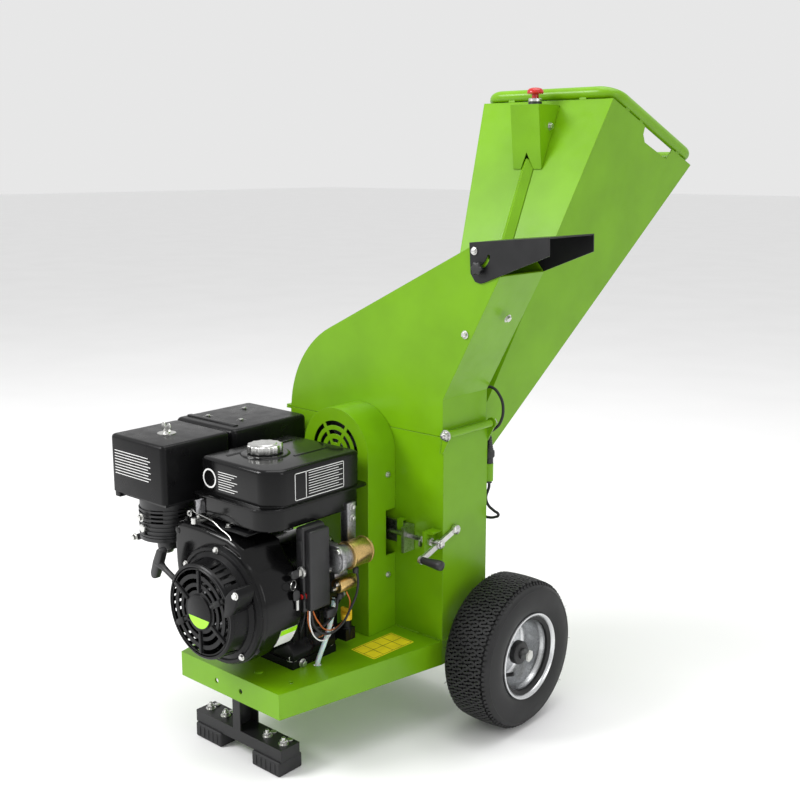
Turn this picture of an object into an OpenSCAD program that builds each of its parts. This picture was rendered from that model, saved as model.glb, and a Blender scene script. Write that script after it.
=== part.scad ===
// Two-wheeled petrol wood chipper: disc chipper housing on a steel deck, belt driven by a
// horizontal-shaft engine, with a feed hopper behind and a flip-open discharge chute.
// X runs across the machine (wheel to wheel), +Y from the engine to the hopper, +Z up.

/* [Deck and stand] */
// Height of the deck's top face above the ground
deck_top = 193; // [185:1:200]
// Depth of the folded rim round the deck
deck_rim = 54; // [50:1:56]
// Width of the deck at its front edge
deck_front_w = 306; // [290:1:330]
// Width of the stand's crossbar
stand_w = 268; // [250:1:300]

/* [Wheels] */
// Outer diameter of the tyres
tyre_d = 330; // [324:1:332]
// Width of the tyres
tyre_w = 126; // [120:1:130]
// Distance between the middles of the two tyres
track = 654; // [650:1:680]
// Distance of the axle behind the deck's front edge
axle_y = 523; // [510:1:535]
// Diameter of the axle
axle_d = 20; // [18:1:22]

/* [Chipper housing] */
// Width of the housing across the machine
housing_w = 467; // [460:1:475]
// Depth of the housing from front plate to back plate
housing_d = 153; // [150:1:160]
// Distance of the housing's front plate behind the deck's front edge
housing_y = 407; // [405:1:412]
// Height of the seam where the upper housing opens
seam_z = 650; // [648:1:654]
// Thickness of the housing plates
plate_t = 3; // [2:0.5:4]

/* [Rotor] */
// Height of the rotor axis
rotor_z = 598; // [596:1:600]
// Radius of the chipping disc
disc_r = 205; // [190:1:208]
// Number of throwing paddles
paddle_count = 4; // [2:1:6]
// Height of the engine's crankshaft
crank_z = 345; // [343:1:347]

/* [Hopper] */
// Half width of the hopper mouth
mouth_half = 182; // [175:1:190]
// Height of the hopper mouth's front edge
mouth_front_z = 1360; // [1350:1:1370]
// Height of the hopper mouth's rear edge
mouth_rear_z = 1212; // [1205:1:1220]
// Distance of the hopper's middle from the machine's middle
hopper_x = 140; // [138:1:142]
// Diameter of the bar round the mouth
rim_bar_d = 28; // [25:1:30]

/* [Chute] */
// Slope of the chute's top wall in degrees
chute_slope = 26.7; // [26:0.1:27.5]
// Angle at which the deflector stands above level
deflector_tilt = 5.3; // [3:0.1:6]

/* [Hidden] */
$fn = 64;

paint = [0.45, 0.72, 0.1];
black = [0.09, 0.09, 0.1];
steel = [0.68, 0.68, 0.7];
cast = [0.3, 0.3, 0.31];
rubber = [0.06, 0.06, 0.06];
gold = [0.75, 0.55, 0.25];

// Clearances: a running fit round a shaft, and the air between two bodies
fit = 0.05;
air = 0.5;

// Wheels
axle_z = tyre_d / 2;
axle_r = axle_d / 2;
axle_half = 386;
rim_bolt_circle = 46;

// Housing
housing_half = housing_w / 2;
housing_back = housing_y + housing_d;
flange_w = 15;
hinge_x = 243;
hinge_z = seam_z + 7;
hinge_tube_r = 8;
hinge_bolt_r = 5;

// Upper housing outline
scroll_r = 236;
scroll_x = scroll_r - housing_half;
scroll_z = 640;
bend_x = housing_half - 3.5;
bend_z = 731;
outlet_low = [372, 997];
outlet_top_x = 300;
ear_corner = [326, 1051];
latch_x = housing_half + 8;
latch_ys = [housing_y + 35, housing_back - 35];

// Deflector
pivot = [311, 1045];
stud = [325, 1012];
deflector_end_x = 488;
slot_radius = norm(stud - pivot);
slot_angle = atan2(stud[1] - pivot[1], stud[0] - pivot[0]);
slot_back = 11;
slot_ahead = 52;

// Belt guard, pulleys and belts
guard_half = 97;
guard_t = 2;
guard_y = 319;
guard_rear = housing_y - air;
pulley_y = [342, 378];
belt_ys = [[347.5, 356.5], [363.5, 372.5]];
rotor_pulley_r = 80;
crank_pulley_r = 48;
groove_depth = 12;
belt_t = 10;
rotor_shaft_r = 15;
crank_r = 12.5;

// Belt tensioner
screw_y = 388;
screw_z = 422;
screw_r = 5;
idler_at = [28, 416];
idler_r = 17;
grip_at = [330, 402];
knob_end_at = [443, 441];

// Hopper corners: [half width, y, z] of each of its four edges
mouth_front_y = 894;
mouth_rear_y = 1278;
throat_top = [62.6, housing_back, 641];
throat_low = [45.7, housing_back, 521];
hopper_t = 3;
mouth_tilt = atan2(mouth_front_z - mouth_rear_z, mouth_rear_y - mouth_front_y);
mouth_len = norm([mouth_rear_y - mouth_front_y, mouth_front_z - mouth_rear_z]);
front_lean = atan2(mouth_front_y - housing_back, mouth_front_z - throat_top[2]);
box_x = hopper_x + 3;
box_half = 39.5;
box_top_z = 1349;
estop_y = 845;

// Engine
tank_zs = [505, 549, 555, 628];
cap_at = [-12, 126];
filter_x = [-320, -140];
filter_y = [-36, 140];
filter_z = [525, 652];
foot_top = deck_top + 16;
engine_bolts = [for (x = [-81, 81], y = [104, 209]) [x, y]];
cylinder_lean = 65;
recoil_y = -66;
pull_dir = [-0.917, 0, 0.398];
pull_from = [-104, -42, 377];
control_box_low = [104, 98, 324];
control_box_high = [142, 160, 504];
key_at = [122, 412];
reset_at = [122, 361];
loom_hole = [124, 116];
loom_hole_r = 12;

// The model's origin is on the ground under the middle of the whole machine
front_most = recoil_y - 1;
rear_most = mouth_rear_y + 18 * sin(mouth_tilt) + rim_bar_d / 2 - 6 * cos(mouth_tilt);
origin_x = (deflector_end_x - track / 2 - tyre_w / 2) / 2;
origin_y = (front_most + rear_most) / 2;

// ---- shared shapes ----

module placed() {
    translate([-origin_x, -origin_y, 0]) children();
}

module box(low, high) {
    translate(low) cube(high - low);
}

module rod_x(x0, x1, y, z, r) {
    translate([x0, y, z]) rotate([0, 90, 0]) cylinder(h = x1 - x0, r = r);
}

module rod_y(y0, y1, x, z, r) {
    translate([x, y0, z]) rotate([-90, 0, 0]) cylinder(h = y1 - y0, r = r);
}

module rod_z(z0, z1, x, y, r) {
    translate([x, y, z0]) cylinder(h = z1 - z0, r = r);
}

// A prism whose outline lies in XZ, between two Y planes
module prism_xz(points, y0, y1) {
    translate([0, y1, 0]) rotate([90, 0, 0]) linear_extrude(y1 - y0) polygon(points);
}

// A prism whose outline lies in YZ, between two X planes
module prism_yz(points, x0, x1) {
    translate([x0, 0, 0]) rotate([90, 0, 90]) linear_extrude(x1 - x0) polygon(points);
}

// Hexagon nut or bolt head along Z
module hex_z(z0, z1, x, y, across) {
    translate([x, y, z0]) cylinder(h = z1 - z0, d = across / cos(30), $fn = 6);
}

module hex_y(y0, y1, x, z, across) {
    translate([x, y0, z]) rotate([-90, 0, 0]) cylinder(h = y1 - y0, d = across / cos(30), $fn = 6);
}

module hex_x(x0, x1, y, z, across) {
    translate([x0, y, z]) rotate([0, 90, 0]) cylinder(h = x1 - x0, d = across / cos(30), $fn = 6);
}

function unit(v) = v / norm(v);

// Moves every edge of a convex anticlockwise outline inwards by t
function inset(points, t) = [
    for (i = [0 : len(points) - 1])
        let (
            n = len(points),
            before = unit(points[i] - points[(i + n - 1) % n]),
            after = unit(points[(i + 1) % n] - points[i]),
            n1 = [-before[1], before[0]],
            n2 = [-after[1], after[0]]
        ) points[i] + t * (n1 + n2) / (1 + n1 * n2)
];

function arc(centre, r, from, to, steps) = [
    for (i = [0 : steps]) let (a = from + (to - from) * i / steps) centre + r * [cos(a), sin(a)]
];

// A tube swept along a route, with its rings square to the path and set out from one fixed direction
// that the path never follows
function route_tangent(route, i) = unit(route[min(i + 1, len(route) - 1)] - route[max(i - 1, 0)]);

module swept_tube(route, r, across, sides = 8) {
    n = len(route);
    rings = [for (i = [0 : n - 1])
        let (t = route_tangent(route, i), u = unit(cross(t, across)), v = cross(t, u))
        for (k = [0 : sides - 1]) route[i] + r * (cos(360 * k / sides) * u + sin(360 * k / sides) * v)];
    walls = [for (i = [0 : n - 2], k = [0 : sides - 1])
        [i * sides + k, i * sides + (k + 1) % sides, (i + 1) * sides + (k + 1) % sides, (i + 1) * sides + k]];
    polyhedron(rings, concat(walls,
        [[for (k = [0 : sides - 1]) sides - 1 - k]],
        [[for (k = [0 : sides - 1]) (n - 1) * sides + k]]), convexity = 4);
}

// Points on a smooth curve through the given ones
function curve_point(p, i, t) =
    let (a = p[max(i - 1, 0)], b = p[i], c = p[i + 1], d = p[min(i + 2, len(p) - 1)])
    0.5 * (2 * b + (c - a) * t + (2 * a - 5 * b + 4 * c - d) * t * t + (3 * b - a - 3 * c + d) * t * t * t);

function smooth_route(p, steps) = concat(
    [for (i = [0 : len(p) - 2], s = [0 : steps - 1]) curve_point(p, i, s / steps)], [p[len(p) - 1]]);

// ---- undercarriage ----

deck_outline = [[-deck_front_w / 2, 0], [deck_front_w / 2, 0], [housing_half, housing_y],
    [housing_half, housing_back + 3], [-housing_half, housing_back + 3], [-housing_half, housing_y]];
deck_t = 4;
tow_hole_x = 37.5;
tow_hole_z = deck_top - 30;
hose_hole = [110, 148];

module deck() {
    color(paint) placed() difference() {
        union() {
            translate([0, 0, deck_top - deck_rim]) difference() {
                linear_extrude(deck_rim) polygon(deck_outline);
                translate([0, 0, -1]) linear_extrude(deck_rim - deck_t + 1) polygon(inset(deck_outline, deck_t));
            }
            rod_z(deck_top - 0.5, deck_top + 3, 46, 43, 9);
        }
        for (x = [-tow_hole_x, tow_hole_x]) rod_y(-1, deck_t + 1, x, tow_hole_z, 5.5);
        rod_z(deck_top - deck_t - 1, deck_top + 1, hose_hole[0], hose_hole[1], 9);
        rod_z(deck_top - deck_t - 1, deck_top + 1, 130, 54, 4.5);
        for (p = engine_bolts) rod_z(deck_top - deck_t - 1, deck_top + 1, p[0], p[1], 5);
        rod_x(-axle_half, axle_half, axle_y, axle_z, axle_r + fit);
    }
}

bar_y = [19.5, 70.5];
bar_z = [32, 58];
foot_bolts = [for (x = [-115, -66, 66, 115]) [x, 44]];

module stand() {
    post_x = [-13, 10];
    color(black) placed() difference() {
        union() {
            difference() {
                box([-stand_w / 2, bar_y[0], bar_z[0]], [stand_w / 2, bar_y[1], bar_z[1]]);
                box([3 - stand_w / 2, bar_y[0] + 3, bar_z[0] - 1], [stand_w / 2 - 3, bar_y[1] - 3, bar_z[1] - 3]);
            }
            difference() {
                box([post_x[0], bar_y[0], bar_z[1] - 1], [post_x[1], bar_y[1], deck_top - deck_t]);
                box([post_x[0] + 3, bar_y[0] + 3, bar_z[1]], [post_x[1] + 1, bar_y[1] - 3, deck_top - deck_t - 5]);
            }
            box([-45, bar_y[0] - 8, deck_top - deck_t - 5], [45, bar_y[1] + 8, deck_top - deck_t]);
        }
        for (p = foot_bolts) rod_z(bar_z[1] - 4, bar_z[1] + 1, p[0], p[1], 4.3);
    }
}

module foot_pads() {
    color(rubber) placed() for (side = [-1, 1]) difference() {
        union() {
            box([side * 90.5 - 41.5, 15, 0], [side * 90.5 + 41.5, 79, 26]);
            box([side * 90.5 - 38, bar_y[0] + 4, 25], [side * 90.5 + 38, bar_y[1] - 4, bar_z[0] + 6]);
        }
        for (x = [66, 115]) {
            rod_z(-1, 40, side * x, 44, 4.3);
            rod_z(-1, 10, side * x, 44, 9.5);
        }
    }
}

bearing_bolts = [for (x = [-36, 36], z = [-36, 36]) [x, rotor_z + z]];
hopper_bolts = [for (x = [-72, 72], z = [520, 580, 636]) [hopper_x + x, z]];
guard_screw_zs = [320, 550];

module frame_bolts() {
    color(steel) placed() {
        for (p = foot_bolts) {
            rod_z(6, bar_z[1] + 11, p[0], p[1], 4);
            hex_z(3, 8, p[0], p[1], 13);
            hex_z(bar_z[1], bar_z[1] + 8, p[0], p[1], 13);
        }
        for (p = engine_bolts) {
            rod_z(deck_top - 16, foot_top + 2, p[0], p[1], 4.8);
            hex_z(foot_top, foot_top + 7, p[0], p[1], 15);
            hex_z(deck_top - deck_t - 8, deck_top - deck_t, p[0], p[1], 15);
        }
        for (p = bearing_bolts) {
            hex_y(housing_y - 18, housing_y - 12, p[0], p[1], 15);
            rod_y(housing_y - 14, housing_y + 10, p[0], p[1], 4.8);
            hex_y(housing_back + 12, housing_back + 18, p[0], p[1], 15);
            rod_y(housing_back - 9, housing_back + 14, p[0], p[1], 4.8);
        }
        for (p = hopper_bolts) {
            hex_y(housing_back + hopper_t, housing_back + hopper_t + 6, p[0], p[1], 13);
            rod_y(housing_back - 7, housing_back + hopper_t + 2, p[0], p[1], 3.8);
        }
        for (side = [-1, 1], z = guard_screw_zs) {
            rod_x(side > 0 ? guard_half : -guard_half - 3, side > 0 ? guard_half + 3 : -guard_half, 382, z, 5);
            rod_x(side > 0 ? guard_half - 7 : -guard_half - 1, side > 0 ? guard_half + 1 : 7 - guard_half,
                382, z, 2.5);
        }
    }
}

module axle() {
    color(steel) placed() {
        rod_x(-axle_half, axle_half, axle_y, axle_z, axle_r);
        for (side = [-1, 1]) {
            hex_x(side * 377 - 7, side * 377 + 7, axle_y, axle_z, 24);
            rod_x(side * 279 - 4, side * 279 + 4, axle_y, axle_z, 16);
        }
    }
}

// One wheel rim turned about the axle; side is 1 for right and -1 for left
rim_profile = [[axle_r + fit, -40], [17, -40], [17, -14], [73, -14], [73, -55], [88, -60], [94, -60],
    [94, -57.5], [77.5, -52], [77.5, 52], [94, 57.5], [94, 60], [88, 60], [73, 55], [73, -11], [17, -11],
    [17, 38], [axle_r + fit, 38]];

module wheel_rim(side) {
    translate([side * track / 2, axle_y, axle_z]) rotate([0, 90, side > 0 ? 0 : 180]) {
        difference() {
            rotate_extrude($fn = 96) polygon(rim_profile);
            for (a = [45 : 90 : 315]) rotate(a) translate([rim_bolt_circle, 0, -20]) cylinder(h = 20, r = 9);
        }
        for (a = [0 : 90 : 270]) rotate(a) translate([rim_bolt_circle, 0, -19])
            cylinder(h = 16, d = 15, $fn = 6);
        difference() {
            translate([0, 0, 25]) cylinder(h = 12, r = 24);
            translate([0, 0, 24]) cylinder(h = 14, r = 16.5);
        }
    }
}

tyre_outer = [[78.2, 40], [78.2, 51], [95, 56.3], [101, 60.5], [125, tyre_w / 2], [148, tyre_w / 2 - 2],
    [159, tyre_w / 2 - 9], [tyre_d / 2 - 1.5, 35], [tyre_d / 2, 0]];
tyre_inner = [[tyre_d / 2 - 9, 0], [tyre_d / 2 - 11, 36], [148, 53], [125, 55], [103, 51], [88, 40]];

module tyre(side) {
    half = concat(tyre_outer, tyre_inner);
    lower = [for (i = [len(tyre_outer) - 2 : -1 : 0]) [tyre_outer[i][0], -tyre_outer[i][1]]];
    inner_low = [for (i = [len(tyre_inner) - 1 : -1 : 1]) [tyre_inner[i][0], -tyre_inner[i][1]]];
    inner_up = [for (p = tyre_inner) p];
    inner_all = concat(inner_low, inner_up);
    translate([side * track / 2, axle_y, axle_z]) rotate([0, 90, 0])
        rotate_extrude($fn = 120) polygon(concat(tyre_outer, lower, inner_all));
}

module rim_right() { color(steel) placed() wheel_rim(1); }

module rim_left() { color(steel) placed() wheel_rim(-1); }

module tyre_right() { color(rubber) placed() tyre(1); }

module tyre_left() { color(rubber) placed() tyre(-1); }

// ---- chipper housing and rotor ----

throat_points = [[hopper_x - throat_low[0], throat_low[2]], [hopper_x + throat_low[0], throat_low[2]],
    [hopper_x + throat_top[0], throat_top[2]], [hopper_x - throat_top[0], throat_top[2]]];
sleeve_at = [231, housing_back + 12];
sleeve_zs = [521, 561];
grommet_at = [200, 440];

module lower_housing() {
    color(paint) placed() difference() {
        union() {
            difference() {
                box([-housing_half, housing_y, deck_top], [housing_half, housing_back, seam_z]);
                box([plate_t - housing_half, housing_y + plate_t, deck_top - 1],
                    [housing_half - plate_t, housing_back - plate_t, seam_z + 1]);
            }
            // seam flange on the left, with the weld nuts of the latch bolts
            box([-housing_half - flange_w, housing_y, seam_z - 4], [plate_t - housing_half, housing_back, seam_z]);
            for (y = latch_ys) hex_z(seam_z - 11, seam_z - 4, -latch_x, y, 13);
            // hinge ears
            for (y = [housing_y - 3.5, housing_back]) {
                rod_y(y, y + 3.5, hinge_x, hinge_z, 12);
                prism_xz([[hinge_x - 12, hinge_z], [hinge_x - 18, hinge_z - 38], [hinge_x - 10, hinge_z - 42],
                    [hinge_x + 12, hinge_z]], y, y + 3.5);
            }
            // sleeve that holds the cable's connector
            rod_z(sleeve_zs[0], sleeve_zs[1], sleeve_at[0], sleeve_at[1], 9);
            box([sleeve_at[0] - 4, housing_back - 1, sleeve_zs[0]], [sleeve_at[0] + 2, sleeve_at[1] - 7, sleeve_zs[1]]);
            // tabs that the belt guard is screwed to
            for (side = [-1, 1], z = guard_screw_zs)
                box([side * 92.5 - 1.5, 372, z - 10], [side * 92.5 + 1.5, housing_y + 1, z + 10]);
        }
        rod_y(housing_y - 1, housing_y + plate_t + 1, 0, rotor_z, 33);
        rod_y(housing_back - plate_t - 1, housing_back + 1, 0, rotor_z, 33);
        for (p = bearing_bolts) rod_y(housing_y - 1, housing_back + 1, p[0], p[1], 5);
        prism_xz(throat_points, housing_back - plate_t - 1, housing_back + 1);
        for (p = hopper_bolts) rod_y(housing_back - plate_t - 1, housing_back + 1, p[0], p[1], 4);
        rod_y(housing_y - 9, housing_back + 9, hinge_x, hinge_z, hinge_bolt_r + fit);
        for (y = latch_ys) rod_z(seam_z - 12, seam_z + 1, -latch_x, y, 4.4);
        rod_z(sleeve_zs[0] - 1, sleeve_zs[1] + 1, sleeve_at[0], sleeve_at[1], 6.6);
        for (side = [-1, 1], z = guard_screw_zs) rod_x(side * 92.5 - 3, side * 92.5 + 3, 382, z, 2.6);
        rod_y(housing_back - plate_t - 1, housing_back + 1, grommet_at[0], grommet_at[1], 5.2);
    }
}

liner_r = 217;
liner_low = [housing_y + plate_t + 0.2, housing_back - plate_t - 0.2];

module scroll_liner() {
    color(steel) placed() {
        difference() {
            rod_y(liner_low[0], liner_low[1], 0, rotor_z, liner_r + 3);
            rod_y(liner_low[0] - 1, liner_low[1] + 1, 0, rotor_z, liner_r);
            box([-300, liner_low[0] - 1, rotor_z], [300, liner_low[1] + 1, rotor_z + 300]);
        }
        for (side = [-1, 1])
            box([side * 223.6 - 6.6, liner_low[0], rotor_z - 3], [side * 223.6 + 6.6, liner_low[1], rotor_z]);
    }
}

module hinge_bolt() {
    color(steel) placed() {
        rod_y(housing_y - 14, housing_back + 14, hinge_x, hinge_z, hinge_bolt_r);
        hex_y(housing_y - 10.5, housing_y - 3.7, hinge_x, hinge_z, 16);
        hex_y(housing_back + 3.7, housing_back + 10.5, hinge_x, hinge_z, 16);
    }
}

vent_rings = [[20, 28], [39, 48], [58, 68]];
vent_rib = 8;

module vent_slots() {
    for (ring = vent_rings) difference() {
        rod_y(guard_y - 1, guard_y + guard_t + 1, 0, rotor_z, ring[1]);
        rod_y(guard_y - 2, guard_y + guard_t + 2, 0, rotor_z, ring[0]);
        for (a = [30, 90, 150]) translate([0, guard_y + 1, rotor_z]) rotate([0, a, 0])
            cube([vent_rib, 8, 160], center = true);
    }
}

module guard_solid(half, y0, y1) {
    box([-half, y0, deck_top + 0.3], [half, y1, rotor_z]);
    rod_y(y0, y1, 0, rotor_z, half);
}

module belt_guard() {
    color(paint) placed() difference() {
        guard_solid(guard_half, guard_y, guard_rear);
        difference() {
            guard_solid(guard_half - guard_t, guard_y + guard_t, guard_rear + 1);
        }
        box([-guard_half + guard_t, guard_y + guard_t, deck_top - 1],
            [guard_half - guard_t, guard_rear + 1, deck_top + 40]);
        vent_slots();
        rod_y(guard_y - 1, guard_y + guard_t + 1, 0, crank_z, 36);
        box([guard_half - guard_t - 1, 376, 366], [guard_half + 1, guard_rear + 1, 469]);
        for (side = [-1, 1], z = guard_screw_zs)
            rod_x(side * guard_half - 4, side * guard_half + 4, 382, z, 2.6);
    }
}

module flange_bearing(flange_y, hub_y) {
    difference() {
        union() {
            box([-47, min(flange_y), rotor_z - 47], [47, max(flange_y), rotor_z + 47]);
            rod_y(min(hub_y), max(hub_y), 0, rotor_z, 31);
        }
        rod_y(min(hub_y) - 20, max(hub_y) + 20, 0, rotor_z, rotor_shaft_r + fit);
        for (p = bearing_bolts) rod_y(min(flange_y) - 1, max(flange_y) + 1, p[0], p[1], 5);
    }
}

module rotor_bearings() {
    color(cast) placed() {
        flange_bearing([housing_y - 12, housing_y], [housing_y - 22, housing_y + 3]);
        flange_bearing([housing_back, housing_back + 12], [housing_back - 3, housing_back + 22]);
    }
}

disc_y = [528, 540];

module bed_knife() {
    color(steel) placed() difference() {
        box([hopper_x - 50, disc_y[1] + 9.5, throat_low[2] - 26],
            [hopper_x + 50, housing_back - plate_t, throat_low[2]]);
        for (x = [-35, 35]) rod_y(disc_y[1], housing_back, hopper_x + x, throat_low[2] - 13, 4.2);
    }
}

module rotor_shaft() {
    color(steel) placed() {
        rod_y(pulley_y[0] - 8, housing_back + 30, 0, rotor_z, rotor_shaft_r);
        hex_y(pulley_y[0] - 6, pulley_y[0] - 0.5, 0, rotor_z, 36);
    }
}

knife_turns = [20, 200];

module rotor_disc() {
    color([0.5, 0.5, 0.52]) placed() translate([0, 0, rotor_z]) difference() {
        union() {
            rod_y(disc_y[0], disc_y[1], 0, 0, disc_r);
            rod_y(disc_y[0] - 26, disc_y[0] + 1, 0, 0, 32);
            for (i = [0 : paddle_count - 1]) rotate([0, 360 * i / paddle_count - 25, 0])
                box([30, disc_y[0] - 88, -4], [disc_r - 3, disc_y[0] + 1, 4]);
        }
        rod_y(disc_y[0] - 40, disc_y[1] + 1, 0, 0, rotor_shaft_r + fit);
        for (a = knife_turns) rotate([0, a, 0]) box([76, disc_y[0] - 1, 12], [196, disc_y[1] + 1, 26]);
        for (a = knife_turns, x = [95, 175]) rotate([0, a, 0]) rod_y(disc_y[0] - 1, disc_y[1] + 1, x, -14, 5);
    }
}

module rotor_knives() {
    color(steel) placed() translate([0, 0, rotor_z]) for (a = knife_turns) rotate([0, a, 0]) {
        difference() {
            box([76, disc_y[1], -28], [196, disc_y[1] + 8, 12]);
            for (x = [95, 175]) rod_y(disc_y[1] - 1, disc_y[1] + 9, x, -14, 5);
        }
        for (x = [95, 175]) {
            rod_y(disc_y[0] - 9, disc_y[1] + 7, x, -14, 4.8);
            hex_y(disc_y[0] - 8, disc_y[0], x, -14, 16);
        }
    }
}

// A two-groove pulley turned about the Y axis
module pulley(r, bore) {
    bottom = r - groove_depth;
    rotate([-90, 0, 0]) difference() {
        rotate_extrude($fn = 96) polygon(concat(
            [[bore, pulley_y[0]], [r, pulley_y[0]]],
            [for (b = belt_ys) each [[r, b[0] - 1.5], [bottom, b[0] + 0.2], [bottom, b[1] - 0.2], [r, b[1] + 1.5]]],
            [[r, pulley_y[1]], [bore, pulley_y[1]]]));
        if (r > 60) for (a = [0 : 72 : 288]) rotate(a) translate([43, 0, pulley_y[0] - 1])
            cylinder(h = 40, r = 13);
    }
}

module rotor_pulley() {
    color(cast) placed() translate([0, 0, rotor_z]) pulley(rotor_pulley_r, rotor_shaft_r + fit);
}

module crank_pulley() {
    color(cast) placed() translate([0, 0, crank_z]) pulley(crank_pulley_r, crank_r + fit);
}

// Outline of a loop round the two pulleys, both at the given depth below their rims
function loop_outline(depth) =
    let (lean = asin((rotor_pulley_r - crank_pulley_r) / (rotor_z - crank_z)))
    concat(arc([0, rotor_z], rotor_pulley_r - depth, -lean, 180 + lean, 30),
        arc([0, crank_z], crank_pulley_r - depth, 180 + lean, 360 - lean, 20));

module drive_belts() {
    color(rubber) placed() for (b = belt_ys) difference() {
        prism_xz(loop_outline(0), b[0], b[1]);
        prism_xz(loop_outline(belt_t), b[0] - 1, b[1] + 1);
    }
}

module tension_bracket() {
    color(paint) placed() difference() {
        union() {
            box([205, 372, 396], [211, housing_y - 0.2, 446]);
            prism_xz([[211, 440], [225, 440], [230, 446], [205, 446]], 380, housing_y - 0.2);
            // strap that guides the sliding bar
            box([114, 393.5, 389], [130, 396.5, 451]);
            for (z = [389, 448]) box([114, 393.5, z], [130, housing_y - 0.2, z + 3]);
        }
        rod_x(200, 215, screw_y, screw_z, screw_r + fit);
    }
}

module tension_arm() {
    color(steel) placed() {
        difference() {
            union() {
                box([12, 398, 395], [153, 405, 444]);
                box([147, 370, 386], [154, 405, 444]);
            }
            rod_x(140, 160, screw_y, screw_z, screw_r + fit);
        }
        rod_y(344, 399, idler_at[0], idler_at[1], 6);
        hex_y(341, 345, idler_at[0], idler_at[1], 14);
    }
}

module idler() {
    color(cast) placed() difference() {
        rod_y(346, 374, idler_at[0], idler_at[1], idler_r);
        rod_y(345, 375, idler_at[0], idler_at[1], 6 + fit);
    }
}

module crank_lever(from, to, r) {
    offset_yz = to - from;
    translate([235, from[0], from[1]]) rotate([atan2(offset_yz[1], offset_yz[0]), 0, 0]) {
        translate([0, 0, -6]) cube([6, norm(offset_yz), 12]);
        translate([0, norm(offset_yz), 0]) rotate([0, 90, 0]) cylinder(h = 6, r = r);
    }
}

module tension_crank() {
    color(steel) placed() difference() {
        union() {
            rod_x(100, 243, screw_y, screw_z, screw_r);
            rod_x(199, 204.5, screw_y, screw_z, 9);
            hex_x(211.5, 218, screw_y, screw_z, 16);
            rod_x(233.8, 242, screw_y, screw_z, 10);
            crank_lever([screw_y, screw_z], grip_at, 9);
            crank_lever([screw_y, screw_z], knob_end_at, 11);
            rod_x(238, 288, grip_at[0], grip_at[1], 4);
        }
        rod_x(240, 250, screw_y, screw_z, 3);
    }
}

module crank_grip() {
    color(black) placed() difference() {
        union() {
            translate([241.5, grip_at[0], grip_at[1]]) rotate([0, 90, 0]) cylinder(h = 46, r1 = 7.5, r2 = 11);
            translate([287.5, grip_at[0], grip_at[1]]) rotate([0, 90, 0]) cylinder(h = 8, r1 = 11, r2 = 7);
        }
        rod_x(240, 289, grip_at[0], grip_at[1], 4 + fit);
    }
}

// ---- upper housing, chute and deflector ----

cover_y = [housing_y + air, housing_back - air];
cover_low = seam_z + 0.7;
tangent_angle = 90 + chute_slope;
chute_dir = [cos(chute_slope), sin(chute_slope)];
tangent_point = [scroll_x, scroll_z] + scroll_r * [cos(tangent_angle), sin(tangent_angle)];
outlet_top = tangent_point + chute_dir * (outlet_top_x - tangent_point[0]) / chute_dir[0];
wall_dir = unit(outlet_low - [bend_x, bend_z]);

// Outline of the upper housing seen from the front; more runs it past both of its openings
function cover_outline(more) = concat(
    [[bend_x, cover_low - more], [bend_x, bend_z], outlet_low + more * wall_dir],
    more > 0 ? [outlet_top + more * chute_dir] : [ear_corner, outlet_top],
    arc([scroll_x, scroll_z], scroll_r, tangent_angle, 176, 14),
    [[-housing_half, cover_low - more]]);

module upper_housing() {
    color(paint) placed() difference() {
        union() {
            difference() {
                prism_xz(cover_outline(0), cover_y[0], cover_y[1]);
                prism_xz(inset(cover_outline(40), plate_t), cover_y[0] + plate_t, cover_y[1] - plate_t);
            }
            box([-housing_half - flange_w, cover_y[0], cover_low], [plate_t - housing_half, cover_y[1], cover_low + 4]);
            rod_y(cover_y[0] + 3, cover_y[1] - 3, hinge_x, hinge_z, hinge_tube_r);
            box([bend_x - 1, cover_y[0] + 3, hinge_z - 3], [hinge_x - 6, cover_y[1] - 3, hinge_z + 6]);
        }
        rod_y(cover_y[0] - 1, cover_y[1] + 1, hinge_x, hinge_z, hinge_bolt_r + fit);
        for (y = latch_ys) rod_z(cover_low - 1, cover_low + 5, -latch_x, y, 4.4);
        for (p = [pivot, stud]) rod_y(cover_y[0] - 1, cover_y[1] + 1, p[0], p[1], 3.2);
        rod_y(cover_y[0] - 1, cover_y[0] + 4, 287, 874, 3.2);
    }
}

plate_ys = [[cover_y[0] - air - 3, cover_y[0] - air], [cover_y[1] + air, cover_y[1] + air + 3]];

module cover_bolts() {
    color(steel) placed() {
        // captive latch bolts
        for (y = latch_ys) {
            rod_z(seam_z - 10, cover_low + 9, -latch_x, y, 4);
            hex_z(cover_low + 4, cover_low + 10, -latch_x, y, 13);
        }
        // pivot bolts and clamp studs of the deflector
        for (p = [pivot, stud]) {
            rod_y(plate_ys[0][0] - 6, cover_y[0] + 8, p[0], p[1], 3);
            rod_y(cover_y[1] - 8, plate_ys[1][1] + 6, p[0], p[1], 3);
            hex_y(cover_y[0] + plate_t, cover_y[0] + plate_t + 4, p[0], p[1], 10);
            hex_y(cover_y[1] - plate_t - 4, cover_y[1] - plate_t, p[0], p[1], 10);
            hex_y(plate_ys[1][1] + 0.3, plate_ys[1][1] + 5, p[0], p[1], 10);
        }
        rod_y(plate_ys[0][0] - 4.5, plate_ys[0][0] - 0.3, pivot[0], pivot[1], 6.5);
        rod_y(cover_y[0] - 5, cover_y[0], 287, 874, 5.5);
        rod_y(cover_y[0] - 1, cover_y[0] + 8, 287, 874, 3);
    }
}

// Side plate of the deflector, with its round lower corner
deflector_side = [[297.5, 1061.5], [301.5, 1000], [313, 984], [325, 981], [333, 982.5],
    [deflector_end_x, 1044], [deflector_end_x - 1, 1079.5]];
deflector_top = [[297.5, 1061.5], [298, 1058.5], [deflector_end_x - 1, 1076.5], [deflector_end_x - 1, 1079.5]];

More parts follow.
